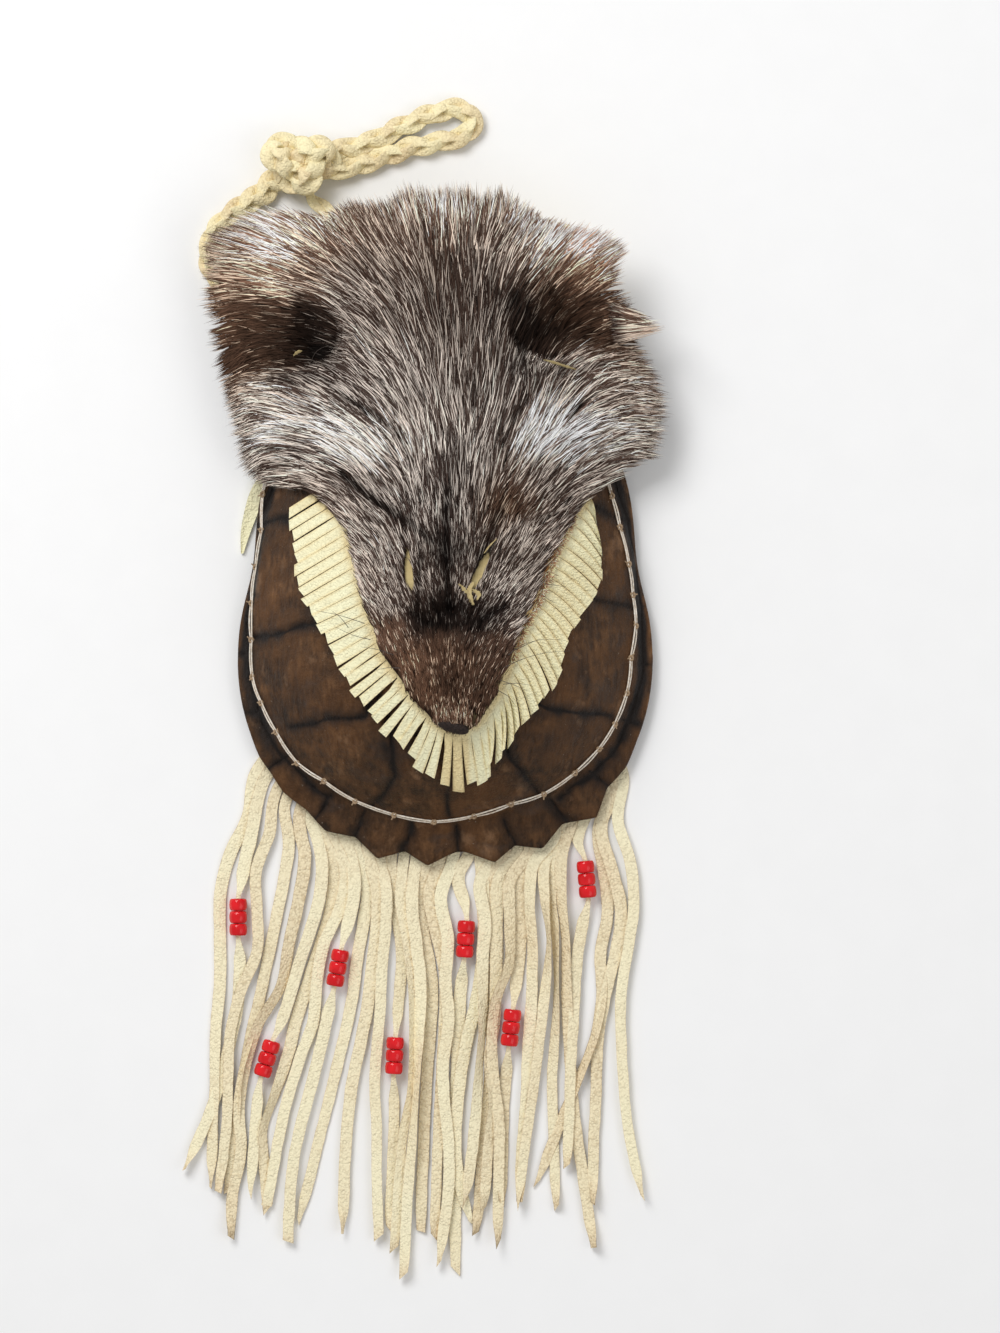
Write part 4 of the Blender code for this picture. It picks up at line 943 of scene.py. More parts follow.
def add_stitch(pile, start, end):
    """Two strands of sinew from one hole to the next, a little slack over the shell."""
    share = np.linspace(0, 1, 15)[:, None]
    middle = (start + end) / 2
    bulge = (middle - (0.0, SHELL_MID_Y)) / np.linalg.norm(middle - (0.0, SHELL_MID_Y))
    flat = start + (end - start) * share + bulge * (0.5 * np.sin(math.pi * share))
    across = np.array((end[1] - start[1], start[0] - end[0])) / np.linalg.norm(end - start)
    for side in (-1, 1):
        part = 0.34 + 0.34 * RANDOM.random() * np.sin(math.pi * share)
        line = flat + across * side * part
        height = shell_surface(line[:, 0], line[:, 1]) + 0.75
        height = height + 0.35 * np.sin(math.pi * share[:, 0]) * RANDOM.uniform(0.2, 1.0)
        line = np.column_stack([line, height])
        up = np.column_stack([np.repeat(bulge[None] * 0.7, 15, axis=0), np.ones(15)])
        pile.add_tube(line, 8, 0.42, 0.38, up)


def add_lace_knot(pile, x, y):
    """A small knot over a hole, with two short ends."""
    spin = RANDOM.uniform(0, math.pi)
    high = float(shell_surface(np.array([x]), np.array([y]))[0])
    turn = np.linspace(0, 2 * math.pi, 17)
    height = high + 1.1 + 0.3 * np.sin(3 * turn)
    ring = np.stack([x + 0.9 * np.cos(turn), y + 1.1 * np.sin(turn), height], -1)
    up = np.tile((0.0, 0.0, 1.0), (17, 1))
    pile.add_tube(ring, 6, 0.6, 0.6, up, slot=1)
    for way in (0.0, 2.4):
        tilt = spin + way
        reach = np.linspace(0, RANDOM.uniform(1.9, 2.9), 5)
        height = high + 1.0 + 0.3 * reach
        nub = np.stack([x + reach * math.cos(tilt), y + reach * math.sin(tilt), height], -1)
        pile.add_tube(nub, 6, 0.42 - 0.03 * reach, 0.36 - 0.03 * reach, up[:5], slot=1)


def build_lacing(sinew, tan):
    """Two strands of waxed sinew side by side, with a small knot where they pass through each hole."""
    knots = np.array([seen(*place) for place in SEEN_KNOTS])
    pile = Pile()
    ends = [knots[0] + (6.0, 26.0)] + list(knots) + [knots[-1] + (-8.0, 26.0)]
    for start, end in zip(ends, ends[1:]):
        add_stitch(pile, start, end)
    for x, y in knots:
        add_lace_knot(pile, x, y)
    dress(pile.make("sinew_lace", [sinew, tan]), "pouch", "sinew_lacing")


def back_radius(angle):
    half_width = BACK_SHARE * LACE_HALF_WIDTH
    lip_reach = LIP_Y - SHELL_MID_Y
    radius = curve_radius(angle, half_width, LACE_TAIL, BACK_TOP_SHARE * lip_reach, BACK_TOP_POWER)
    inside = BACK_SHARE * lace_radius(angle)
    share = smooth_step((inside * np.sin(angle) + SHELL_MID_Y - MOUTH_Y - 2.0) / 20.0)
    radius = inside + (radius - inside) * share
    radius = np.minimum(radius, lip_reach / np.maximum(1e-6, np.sin(angle)))
    return np.where(np.sin(angle) < 0, inside, radius)


def build_back(material):
    """The hide back, flat in the middle and turned up to the lacing and the lip."""
    around, rings = 200, 34
    angle = 2 * math.pi * np.arange(around) / around
    top, bottom, shades = [], [], []
    for share in np.linspace(0.01, 1.0, rings) ** 0.75:
        radius = back_radius(angle) * share
        x, y = radius * np.cos(angle), SHELL_MID_Y + radius * np.sin(angle)
        turn = smooth_step((share - BACK_TURN) / (1 - BACK_TURN))
        rise = smooth_step((y - MOUTH_Y) / (LIP_Y - MOUTH_Y))
        edge = BACK_EDGE_Z + (LIP_Z - BACK_EDGE_Z) * rise
        drop = CORNER_DROP * smooth_step((np.abs(x) - CORNER_START) / CORNER_REACH)
        height = turn * np.minimum(edge, flap_support(x, y) - 2 * BACK_WALL - drop)
        gather = 0.35 * waves(x, y, 16.0, 11) * turn
        low = np.stack([x, y, np.maximum(0.0, height + gather)], -1)
        inward = np.stack([-np.cos(angle), -np.sin(angle), 0 * angle], -1) * (1.2 * turn)
        high = low + np.array((0, 0, BACK_WALL)) + inward
        bottom.append(low)
        top.append(high)
        shades.append(0.25 + 0.12 * waves(x, y, 40.0, 12))
    rows = top + bottom[::-1]
    faces = capped_faces(len(rows), around)
    pile = Pile()
    pile.add(np.array(rows), faces, np.array(shades + shades[::-1]))
    back = pile.make("hide_back", [material])
    dress(back, "pouch", "back_panel")


def strip_root(index):
    first, last = FRINGE_ANGLES
    return math.radians(first + (last - first) * (index + 0.5) / len(LONG_STRIPS))


def bead_places(line, middle_y):
    index = min(range(len(line)), key=lambda at: abs(line[at][1] - middle_y))
    centre = Vector((line[index][0], middle_y, BEAD_RADIUS + FRINGE_FLOOR))
    along = Vector((*(line[index + 1] - line[index - 1]), 0)).normalized()
    return [(centre + along * BEAD_SPACE * step, along) for step in (-1, 0, 1)]


def clear_of_beads(line, groups):
    clearance = BEAD_RADIUS + FRINGE_WIDTH / 2 + 4 * GAP
    half = BEAD_SPACE + BEAD_LENGTH / 2
    for centre, along in groups:
        centre, along = np.array(centre[:2]), np.array(along[:2])
        across = np.array((-along[1], along[0]))
        nearest = min(line, key=lambda point: abs((point - centre) @ along))
        side = math.copysign(1, (nearest - centre) @ across)
        for at, point in enumerate(line):
            past = abs((point - centre) @ along) - half
            reach = clearance * (1 - smooth_step((past - 8.0) / 26.0))
            short = reach - side * ((point - centre) @ across)
            if short > 0 and past < 34.0:
                line[at] = point + across * side * short
    return line


def free_line(index, count):
    angle = strip_root(index)
    out = np.array((math.cos(angle), math.sin(angle)))
    middle = np.array((0.0, SHELL_MID_Y))
    root = middle + out * lace_radius(angle)
    rim = (middle + out * rim_radius(angle)) * 0.75 + np.array(LONG_STRIPS[index][0]) * 0.25
    return smooth_line([root, rim, *LONG_STRIPS[index]], count)


def strip_line(index, beads):
    own = beads.get(index, [])
    line = free_line(index, STRIP_POINTS + 4 if own else STRIP_POINTS)
    others = [places[1] for owner, places in beads.items() if owner != index]
    line = clear_of_beads(line, others)
    if not own:
        return line
    centre, along = (np.array(value[:2]) for value in own[1])
    half = BEAD_SPACE + BEAD_LENGTH / 2 + 1.0
    before = [point for point in line if (point - centre) @ along < -half - 4.0]
    after = [point for point in line if (point - centre) @ along > half + 4.0]
    return before + [centre - half * along, centre, centre + half * along] + after


def strip_height(point, index):
    x, y = point
    angle = math.atan2(y - SHELL_MID_Y, x)
    radius = math.hypot(x, y - SHELL_MID_Y)
    inner, outer = lace_radius(angle), rim_radius(angle)
    layer = FRINGE_LAYER_RISE * (index % FRINGE_LAYERS)
    low = FRINGE_FLOOR + layer * smooth_step((radius - outer - TOOTH_REACH) / 20.0)
    share = (radius - inner) / (outer - inner)
    top = BAND_Z + 0.05 * (index % FRINGE_LAYERS)
    return float(low + (top - low) * max(0.0, 1 - max(0.0, share)) ** 1.7)


def all_beads():
    return {index: bead_places(free_line(index, 60), middle) for index, middle in BEADED_STRIPS}


def add_long_strip(pile, index, beads):
    """One strip of the long fringe: uneven, a little cupped or twisted, and narrow inside its beads."""
    across = np.array((-1.0, -0.86, -0.3, 0.3, 0.86, 1.0))
    draw = np.random.default_rng(100 + index)
    own = beads.get(index, [])
    count = 84
    line = np.array(smooth_line(strip_line(index, beads), count))
    along = directions(line)
    side = left_of(along)
    share = np.linspace(0, 1, count)
    width = (FRINGE_WIDTH + (FRINGE_TIP_WIDTH - FRINGE_WIDTH) * share) * draw.uniform(0.94, 1.08)
    width *= ROOT_SHARE + (1 - ROOT_SHARE) * np.minimum(1.0, share * 6)
    low = np.array([strip_height(point, index) for point in line])
    sway = 0.5 * waves(share * 200, index * 90.0, 30.0, index) * smooth_step(share * 5)
    pinch = np.zeros(count)
    if own:
        centre, direction = own[1]
        ahead = np.abs((line - np.array(centre[:2])) @ np.array(direction[:2]))
        pinch = 1 - smooth_step((ahead - BEAD_SPACE - BEAD_LENGTH / 2 - 1.2) / NARROW_REACH)
        width += (THREAD_WIDTH - width) * pinch
        low += (centre.z - FRINGE_WALL / 2 - low) * pinch
    sway *= 1 - pinch
    half = width / 2
    cup = 0.35 * waves(share * 200, index * 50.0, 45.0, 40 + index) * (1 - pinch)
    left = half + 0.18 * waves(share * 250, 0, 7.0, 200 + index) * (1 - pinch)
    right = half + 0.18 * waves(share * 250, 0, 7.0, 300 + index) * (1 - pinch)
    slant = draw.uniform(-3.0, 3.0) * smooth_step((share - 0.97) / 0.03)
    twisted = draw.uniform(0.5, 1.15) if draw.random() < 0.5 and not own else 0.0
    twist = twisted * bell((share - draw.uniform(0.3, 0.8)) / draw.uniform(0.10, 0.22))
    twist = twist + draw.uniform(0.0, 1.1) * smooth_step((share - 0.93) / 0.07)
    frayed = 1 - draw.choice((0.0, 0.15, 0.6)) * smooth_step((share - 0.93) / 0.07)
    turned_way = draw.choice((-1.0, 1.0))
    top = np.zeros((count, len(across), 3))
    for column, at in enumerate(across):
        reach = np.where(at < 0, left, right) * at * frayed
        tilt_up = (reach * turned_way + half) * np.sin(twist)
        reach = reach * np.cos(twist) + sway
        flat = line + side * reach[:, None] + along * (slant * at)[:, None]
        lift = low + FRINGE_WALL + cup * at + 0.12 * (1 - at * at) + tilt_up
        top[:, column] = np.column_stack([flat, lift])
    bottom = top - (0, 0, FRINGE_WALL)
    bottom[..., 2] = np.maximum(bottom[..., 2], 0.05)
    cloud = 0.20 * waves(share * 220, index * 31.0, 40.0, 60 + index)
    shade = draw.choice((0.0, 0.05, 0.22, 0.45)) + cloud
    shade = shade + 0.35 * bell(share / 0.12) + 0.45 * bell((share - 1.0) / 0.02) + 0.5 * np.sin(twist)
    # Painted shadow: a thin dark outline along both cut edges of the strip
    edges = np.where(np.abs(across) > 0.9, 0.85, 0.0)
    pile.add_ribbon(top, bottom, shade[:, None] + edges[None])


def build_long_fringe(material, beads):
    """The buckskin band in the seam with its long cut strips, each a little uneven."""
    pile = Pile()
    angle = np.radians(np.linspace(*FRINGE_ANGLES, 90))
    shares = np.array(BAND_SHARES)[:, None]
    reach = lace_radius(angle)[None] * shares
    band = np.stack([reach * np.cos(angle), SHELL_MID_Y + reach * np.sin(angle), BAND_Z + 0 * reach], -1)
    pile.add_ribbon(band + (0, 0, FRINGE_WALL), band, 0.2)
    for index in range(len(LONG_STRIPS)):
        add_long_strip(pile, index, beads)
    fringe = sharpen(pile.make("buckskin_fringe", [material]), SHARP_TURN)
    dress(fringe, "pouch", "long_fringe")


def build_beads(material, beads):
    """Pony beads: a rounded barrel with a rolled hole."""
    steps, sides = 20, 30
    turn = 2 * math.pi * np.arange(steps) / steps
    middle, half_wide = (BEAD_RADIUS + BEAD_HOLE_RADIUS) / 2, (BEAD_RADIUS - BEAD_HOLE_RADIUS) / 2
    power = 0.78
    out = middle + half_wide * np.sign(np.cos(turn)) * np.abs(np.cos(turn)) ** power
    along = BEAD_LENGTH / 2 * np.sign(np.sin(turn)) * np.abs(np.sin(turn)) ** power
    around = 2 * math.pi * np.arange(sides) / sides
    ring = np.stack(
        [out[:, None] * np.cos(around), out[:, None] * np.sin(around), along[:, None] + 0 * around], -1,
    )
    faces = grid_faces(steps, sides, wrap=True).tolist()
    last = (steps - 1) * sides
    faces += [[last + at, last + (at + 1) % sides, (at + 1) % sides, at] for at in range(sides)]
    for group, (index, _) in enumerate(BEADED_STRIPS):
        for step, (centre, direction) in enumerate(beads[index]):
            turned = np.array(direction.to_track_quat("Z", "Y").to_matrix())
            pile = Pile()
            pile.add(ring.reshape(-1, 3) @ turned.T + np.array(centre), faces)
            name = f"bead_{group + 1}{'abc'[step]}"
            bead = pile.make(f"pony_{name}", [material])
            dress(bead, "pouch", name)


def build_side_end(material):
    """The pale pointed thong end that comes out at the left side."""
    places = np.array(smooth_line(SIDE_END, 40))
    across = np.linspace(-1, 1, 7)
    x = places[:, None, 0] + places[:, None, 3] * across / 2
    curl = 0.6 * across**2 * smooth_step(np.linspace(0, 1.4, 40))[:, None]
    top = np.stack([x, places[:, None, 1] + 0 * x, places[:, None, 2] + FRINGE_WALL + curl], -1)
    pile = Pile()
    pile.add_ribbon(top, top - (0, 0, FRINGE_WALL), 0.12 + 0 * x)
    end = sharpen(pile.make("thong_end", [material]), SHARP_TURN)
    dress(end, "pouch", "side_thong_end")


def edge_stations():
    upper_left = [(x, y, x, y) for x, y in LINING_UPPER_LEFT]
    upper_right = [(x, y, x, y) for x, y in LINING_UPPER_RIGHT]
    return np.array(upper_left + list(SHORT_FRINGE) + upper_right + upper_left[:1], float)


def lining_edge(share):
    """Root and tip of the lining's edge at shares of the way round it."""
    given = edge_stations()
    steps = np.asarray(share) * (len(given) - 1)
    index = np.minimum(steps.astype(int), len(given) - 2)
    return given[index] + (given[index + 1] - given[index]) * (steps - index)[..., None]


def fringe_shares(places):
    """Shares of the edge for places from 0 to 1 along the cut part of it."""
    stations = len(edge_stations()) - 1
    first = len(LINING_UPPER_LEFT)
    shares = np.linspace(first / stations, (first + len(SHORT_FRINGE) - 1) / stations, 400)
    ends = lining_edge(shares)
    middle = (ends[:, :2] + ends[:, 2:]) / 2
    reach = np.concatenate([[0], np.cumsum(np.linalg.norm(np.diff(middle, axis=0), axis=1))])
    return np.interp(np.asarray(places) * reach[-1], reach, shares)


def lining_shade(x, y):
    """Tan of the lining: clouds, the rub along the hide, and the stain on its left edge."""
    left, right = flap_sides(y)
    rub = 0.85 * bell((np.maximum(left - x, 0) + 1.6 * np.maximum(x - right, 0)) / 3.0)
    upper = 0.45 * smooth_step((y - 38.0) / 14.0) * (x < 0)
    stain_x, stain_y = seen(*SEEN_STAIN)
    mottled = 0.6 + 0.4 * waves(x, y, 1.8, 31)
    stain = 1.25 * bell((x - stain_x) / 1.8) * bell((y - stain_y) / 4.0) * mottled
    return 0.06 * waves(x, y, 26.0, 30) + rub + upper + stain


def strip_cut(place, side):
    """Share of a short strip's width that its cut takes, wide at the gaps that stand open."""
    cut = 0.05 + 0.05 * bell((place - 0.46) / 0.12)
    for at, wide in OPEN_CUTS:
        cut = cut + wide * bell((place - at + 0.004 * side) / 0.006)
    return cut


def add_short_strip(pile, strip):
    """One strip of the short fringe, bent and lifted more on the right and at the bottom of the V."""
    across = np.linspace(0, 1, 5)
    steps = 18
    draw = np.random.default_rng(500 + strip)
    place = strip / SHORT_STRIPS
    first, last = strip_cut(place, -1), strip_cut(place + 1 / SHORT_STRIPS, 1)
    reach = np.linspace(-0.12, 1.0, steps)[:, None]
    spread = np.clip(reach, 0, 1)
    opened = 0.25 + 0.75 * smooth_step(spread / 0.35)
    sides = strip + first / 2 * opened + across[None] * (1 - (first + last) / 2 * opened)
    ends = lining_edge(fringe_shares(sides.ravel() / SHORT_STRIPS)).reshape(steps, 5, 4)
    root, tip = ends[..., :2], ends[..., 2:]
    bottom_share = bell((place - 0.46) / 0.16)
    stretch = 1 + draw.uniform(-0.035, 0.03) * (1 + 2.2 * bottom_share)
    skew = draw.uniform(-0.05, 0.05) * (across[None] - 0.5)
    flat = root + (tip - root) * (reach * (stretch + skew))[..., None]
    along = (tip - root) / np.linalg.norm(tip - root, axis=-1)[..., None]
    side = left_of(along)
    right = smooth_step((place - 0.50) / 0.12)
    bend = -6.0 * right + draw.uniform(-1.6, 1.6) * (0.2 + bottom_share)
    flat = flat + side * (bend * spread**1.8)[..., None]
    lean = (2.8 * right + 0.30) * (across[None] - 0.5) * smooth_step(spread * 2.5)
    lean = lean * (1.0 if place > 0.45 else -1.0)
    curl = (draw.uniform(0.0, 1.4) * (0.4 + bottom_share) + 0.3) * spread**2
    lift = LINING_EDGE_LIFT + LINING_WALL + lean + curl + 0.85 * right * smooth_step(spread * 2)
    high = over_support(flat[..., 0], flat[..., 1], lift)
    top = np.concatenate([flat, high[..., None]], -1)
    low = top - (0, 0, LINING_WALL)
    # Painted shadow in the cuts between the strips, darker along both edges of each
    edge_shadow = np.maximum(0, np.abs(across - 0.5) - 0.38)[None] * 5.0 * smooth_step(spread * 4)
    shade = lining_shade(flat[..., 0], flat[..., 1]) + draw.uniform(-0.05, 0.22) * right + edge_shadow
    pile.add_ribbon(top, low, shade)


def build_lining(material):
    """The flap's buckskin lining and the short fringe cut into its lower edge."""
    pile = Pile()
    around = 300
    shares = np.arange(around) / around
    edge = lining_edge(shares)[:, :2]
    rows, shades = [], []
    for scale in np.linspace(1.0, 0.012, 40):
        flat = np.array(LINING_MIDDLE) + (edge - LINING_MIDDLE) * scale
        lift = LINING_EDGE_LIFT + (LINING_LIFT - LINING_EDGE_LIFT) * smooth_step((1 - scale) / 0.1)
        high = over_support(flat[:, 0], flat[:, 1], lift + LINING_WALL)
        rows.append(np.column_stack([flat, high]))
        shades.append(lining_shade(flat[:, 0], flat[:, 1]))
    top = np.array(rows)
    low = top.copy()
    low[..., 2] -= LINING_WALL
    both = np.concatenate([top[::-1], low])
    faces = capped_faces(len(both), around)
    pile.add(both, faces, np.array(shades[::-1] + shades))
    for strip in range(SHORT_STRIPS):
        add_short_strip(pile, strip)
    lining = sharpen(pile.make("cut_lining", [material]), SHARP_TURN)
    dress(lining, "flap", "fringed_lining")


# How the hair lies, as seen: place, direction in degrees, length, depth, share of silver
# hairs, warmth, tone; silver share and tone also carry painted light on the bulging cheeks
# and painted shade in the ear hollows
HAIR = (
    (490, 200, 88, 20, 7, 0.54, 0.38, 1.16), (440, 203, 97, 20, 7, 0.65, 0.43, 1.71),
    (400, 213, 108, 20, 7, 0.55, 0.48, 1.15), (360, 222, 118, 20, 7, 0.47, 0.50, 0.90),
    (335, 238, 128, 22, 7, 0.62, 0.55, 1.27), (300, 240, 148, 24, 7, 0.78, 0.60, 1.92),
    (262, 240, 158, 20, 6, 0.46, 0.35, 0.59), (228, 240, 165, 14, 4, 0.36, 0.00, 0.36),
    (225, 258, 172, 18, 5, 0.41, 0.20, 0.52), (255, 262, 165, 26, 7, 0.55, 0.70, 0.95),
    (310, 265, 156, 28, 8, 0.77, 0.70, 2.17), (350, 275, 143, 28, 9, 0.52, 0.60, 0.99),
    (345, 300, 150, 26, 8, 0.49, 0.60, 0.82), (385, 262, 122, 24, 8, 0.47, 0.46, 0.80),
    (390, 290, 126, 22, 8, 0.40, 0.32, 0.59), (300, 290, 165, 20, 6, 0.55, 0.80, 1.37),
    (240, 285, 172, 20, 6, 0.42, 0.85, 1.06), (218, 300, 185, 14, 5, 0.45, 0.80, 0.95),
    (230, 325, 195, 12, 4, 0.14, 0.95, 0.83), (262, 322, 178, 9, 3, 0.01, 0.95, 0.49),
    (290, 325, 172, 8, 2.5, 0.03, 0.80, 0.36), (325, 325, 160, 7, 2.5, 0.01, 0.30, 0.07),
    (328, 355, 165, 7, 2.5, 0.00, 0.20, 0.02), (312, 330, 165, 7, 2.5, 0.01, 0.60, 0.12),
    (300, 355, 178, 7, 2.5, 0.02, 0.70, 0.20), (270, 360, 190, 8, 3, 0.04, 0.90, 0.41),
    (238, 362, 215, 10, 4, 0.16, 0.85, 0.71), (232, 395, 205, 12, 5, 0.44, 0.50, 0.82),
    (250, 385, 185, 16, 5, 0.43, 0.50, 0.72), (243, 430, 200, 16, 6, 0.62, 0.25, 0.87),
    (246, 462, 215, 12, 5, 0.56, 0.20, 0.80), (270, 410, 168, 20, 7, 0.63, 0.15, 0.97),
    (300, 395, 155, 20, 7, 0.62, 0.15, 0.97), (325, 392, 148, 20, 7, 0.46, 0.10, 0.76),
    (300, 440, 168, 20, 8, 0.90, 0.05, 1.38), (272, 460, 188, 18, 7, 0.59, 0.05, 0.93),
    (290, 482, 178, 14, 5, 0.52, 0.20, 0.77), (320, 465, 155, 16, 6, 0.59, 0.05, 0.89),
    (360, 350, 135, 22, 8, 0.49, 0.10, 0.81), (375, 320, 128, 22, 8, 0.50, 0.11, 0.78),
    (345, 440, 148, 18, 7, 0.82, 0.00, 1.27), (365, 400, 138, 20, 7, 0.45, 0.00, 0.70),
    (320, 495, 150, 14, 5, 0.51, 0.20, 0.80), (345, 515, 138, 12, 4.5, 0.50, 0.20, 0.75),
    (380, 465, 132, 18, 6, 0.83, 0.00, 1.13), (375, 500, 130, 14, 5, 0.46, 0.05, 0.70),
    (360, 545, 132, 10, 4, 0.55, 0.10, 0.85), (410, 400, 116, 20, 7, 0.50, 0.01, 0.79),
    (420, 330, 107, 20, 8, 0.42, 0.19, 0.55), (450, 250, 93, 22, 8, 0.67, 0.44, 1.30),
    (450, 300, 95, 22, 8, 0.28, 0.38, 0.35), (455, 350, 95, 22, 8, 0.25, 0.25, 0.33),
    (480, 300, 88, 22, 8, 0.44, 0.23, 0.61), (480, 350, 88, 20, 8, 0.43, 0.16, 0.57),
    (450, 420, 97, 18, 7, 0.50, 0.07, 0.71), (430, 470, 102, 15, 6, 0.62, 0.02, 0.93),
    (455, 480, 92, 14, 5, 0.35, 0.02, 0.48), (480, 470, 82, 15, 6, 0.50, 0.01, 0.87),
    (425, 520, 103, 11, 4.5, 0.50, 0.00, 0.80), (455, 520, 93, 9, 4, 0.55, 0.00, 0.75),
    (448, 565, 92, 7, 3, 0.25, 0.08, 0.19), (430, 585, 108, 7, 3, 0.45, 0.13, 0.63),
    (465, 590, 80, 7, 3, 0.45, 0.18, 0.62), (450, 618, 92, 5, 2.4, 0.04, 0.10, 0.10),
    (425, 626, 100, 5, 2.4, 0.06, 0.20, 0.17), (478, 626, 75, 5, 2.4, 0.08, 0.10, 0.18),
    (395, 560, 112, 9, 3.5, 0.50, 0.07, 0.84), (375, 590, 122, 8, 3, 0.50, 0.18, 0.79),
    (395, 610, 118, 7, 2.8, 0.45, 0.10, 0.75), (395, 640, 115, 5.5, 2.5, 0.16, 0.75, 1.09),
    (415, 670, 108, 5, 2.2, 0.07, 0.95, 1.08), (440, 655, 97, 5, 2.2, 0.03, 0.90, 0.63),
    (460, 670, 90, 5, 2.2, 0.03, 0.90, 0.55), (430, 700, 100, 4, 2, 0.06, 1.00, 1.01),
    (442, 712, 95, 3.5, 1.8, 0.35, 0.85, 1.16), (460, 722, 88, 3.5, 1.8, 0.35, 0.85, 1.17),
    (450, 690, 92, 4, 2, 0.02, 0.90, 0.41), (490, 650, 60, 5, 2.4, 0.12, 0.60, 0.76),
    (500, 670, 62, 5, 2.4, 0.08, 0.70, 0.77), (480, 700, 75, 4, 2, 0.05, 0.80, 0.61),
    (515, 625, 40, 7, 3, 0.45, 0.10, 0.75), (500, 595, 55, 8, 3.5, 0.55, 0.07, 0.81),
    (490, 620, 50, 6, 2.6, 0.30, 0.05, 0.45), (530, 575, 46, 9, 4, 0.50, 0.20, 0.54),
    (555, 530, 44, 11, 4.5, 0.50, 0.15, 0.80), (515, 545, 60, 10, 4.5, 0.45, 0.10, 0.74),
    (505, 520, 66, 9, 4, 0.15, 0.85, 0.55), (535, 495, 50, 14, 5, 0.46, 0.10, 0.78),
    (490, 430, 75, 18, 7, 0.50, 0.02, 0.82), (525, 455, 60, 18, 7, 0.86, 0.00, 1.64),
    (550, 450, 48, 18, 7, 0.97, 0.00, 2.48), (590, 475, 28, 14, 6, 0.56, 0.15, 0.88),
    (580, 440, 30, 20, 8, 0.65, 0.10, 1.19), (620, 455, 12, 20, 7, 0.60, 0.20, 0.95),
    (648, 448, -8, 14, 6, 0.55, 0.20, 0.90), (600, 410, 22, 22, 8, 0.55, 0.25, 1.00),
    (640, 410, 0, 20, 7, 0.75, 0.25, 1.20), (650, 385, -12, 14, 6, 0.56, 0.30, 0.92),
    (570, 400, 45, 20, 8, 0.60, 0.15, 1.02), (545, 412, 66, 16, 7, 0.53, 0.10, 0.83),
    (530, 378, 88, 14, 6, 0.60, 0.00, 0.90), (515, 395, 80, 16, 7, 0.30, 0.00, 0.40),
    (500, 340, 80, 20, 8, 0.27, 0.19, 0.34), (515, 325, 72, 7, 2.5, 0.00, 0.32, 0.01),
    (530, 345, 66, 7, 2.5, 0.00, 0.40, 0.06), (540, 305, 55, 7, 2.5, 0.10, 0.80, 0.18),
    (553, 322, 50, 7, 2.5, 0.05, 0.90, 0.21), (545, 345, 60, 7, 2.5, 0.04, 0.60, 0.15),
    (575, 312, 35, 8, 2.5, 0.08, 0.90, 0.42), (572, 348, 30, 8, 2.5, 0.03, 0.90, 0.25),
    (590, 345, 20, 9, 3, 0.10, 0.85, 0.40), (598, 318, 18, 12, 4, 0.13, 0.90, 0.62),
    (570, 292, 42, 12, 4, 0.36, 0.90, 1.05), (605, 365, 10, 14, 5, 0.42, 0.50, 0.89),
    (632, 325, -8, 20, 5, 0.81, 0.45, 1.24), (620, 300, 15, 16, 5, 0.41, 0.80, 0.98),
    (590, 268, 38, 24, 7, 0.69, 0.85, 2.36), (608, 252, 35, 18, 5, 0.79, 0.35, 1.63),
    (560, 258, 48, 26, 8, 0.97, 0.55, 4.92), (530, 285, 56, 26, 8, 0.66, 0.40, 1.46),
    (520, 235, 62, 22, 7, 0.68, 0.41, 1.40), (545, 240, 55, 20, 7, 0.81, 0.45, 2.45),
    (500, 290, 74, 24, 8, 0.47, 0.23, 0.75), (630, 365, 2, 16, 5, 0.58, 0.40, 1.12),
    (560, 380, 55, 15, 6, 0.60, 0.10, 0.95), (585, 378, 40, 14, 6, 0.56, 0.20, 0.92),
)
# Torn pale edges of the hide at the ears and the right eye, as seen, each with its width
SEEN_TORN = (
    (((543, 362), (552, 364), (562, 367), (576, 371)), 1.7), (((294, 357), (299, 353), (303, 352)), 1.6),
    (((497, 540), (490, 547), (484, 555)), 0.9), (((474, 583), (470, 590), (471, 600), (474, 606)), 3.6),
    (((459, 585), (465, 591), (470, 596)), 2.2), (((472, 590), (479, 596), (477, 601)), 2.6),
)
# Rusty edge of the hide and the whiskers, as seen
RUSTY_EDGE = (
    (574, 518), (563, 540), (552, 566), (545, 588), (536, 606), (527, 624), (517, 646), (512, 660),
)
SEEN_WHISKERS = (
    ((505, 667), (520, 660), (545, 653), (570, 651)), ((500, 680), (512, 684), (528, 691)),
    ((503, 684), (515, 683), (530, 685)), ((498, 690), (508, 696), (516, 706)),
    ((508, 655), (522, 645), (535, 641)), ((540, 594), (548, 600), (556, 604)),
    ((545, 585), (555, 586), (566, 588)), ((395, 655), (380, 650), (362, 647)),
    ((402, 668), (388, 668), (374, 671)), ((366, 624), (345, 617), (318, 611)),
    ((350, 628), (342, 618), (333, 611)), ((372, 640), (356, 636), (338, 628)),
    ((515, 650), (540, 640), (560, 640)), ((310, 365), (318, 352), (328, 348), (338, 355)),
)
# Long tuft behind the right ear, as seen: the ends of its root line, then of its tips
SEEN_TUFT = ((610, 306), (616, 342), (652, 322), (664, 331))
# Outline of the hair, as seen
SEEN_FUR = (
    (207, 237), (216, 232), (233, 222), (252, 214), (279, 218), (306, 223), (330, 227), (337, 213),
    (355, 208), (388, 205), (408, 191), (428, 195), (466, 191), (472, 202), (500, 190), (517, 205),
    (541, 227), (575, 232), (612, 239), (624, 251), (616, 268), (626, 299), (640, 322), (636, 342),
    (646, 360), (661, 391), (663, 421), (656, 455), (636, 474), (615, 480), (598, 493), (586, 505),
    (566, 532), (549, 578), (534, 615), (518, 646), (508, 680), (491, 707), (480, 727), (463, 735),
    (436, 722), (405, 690), (380, 658), (368, 624), (356, 582), (352, 545), (346, 522), (330, 512),
    (309, 491), (286, 489), (255, 482), (241, 455), (235, 414), (221, 380), (207, 316),
)
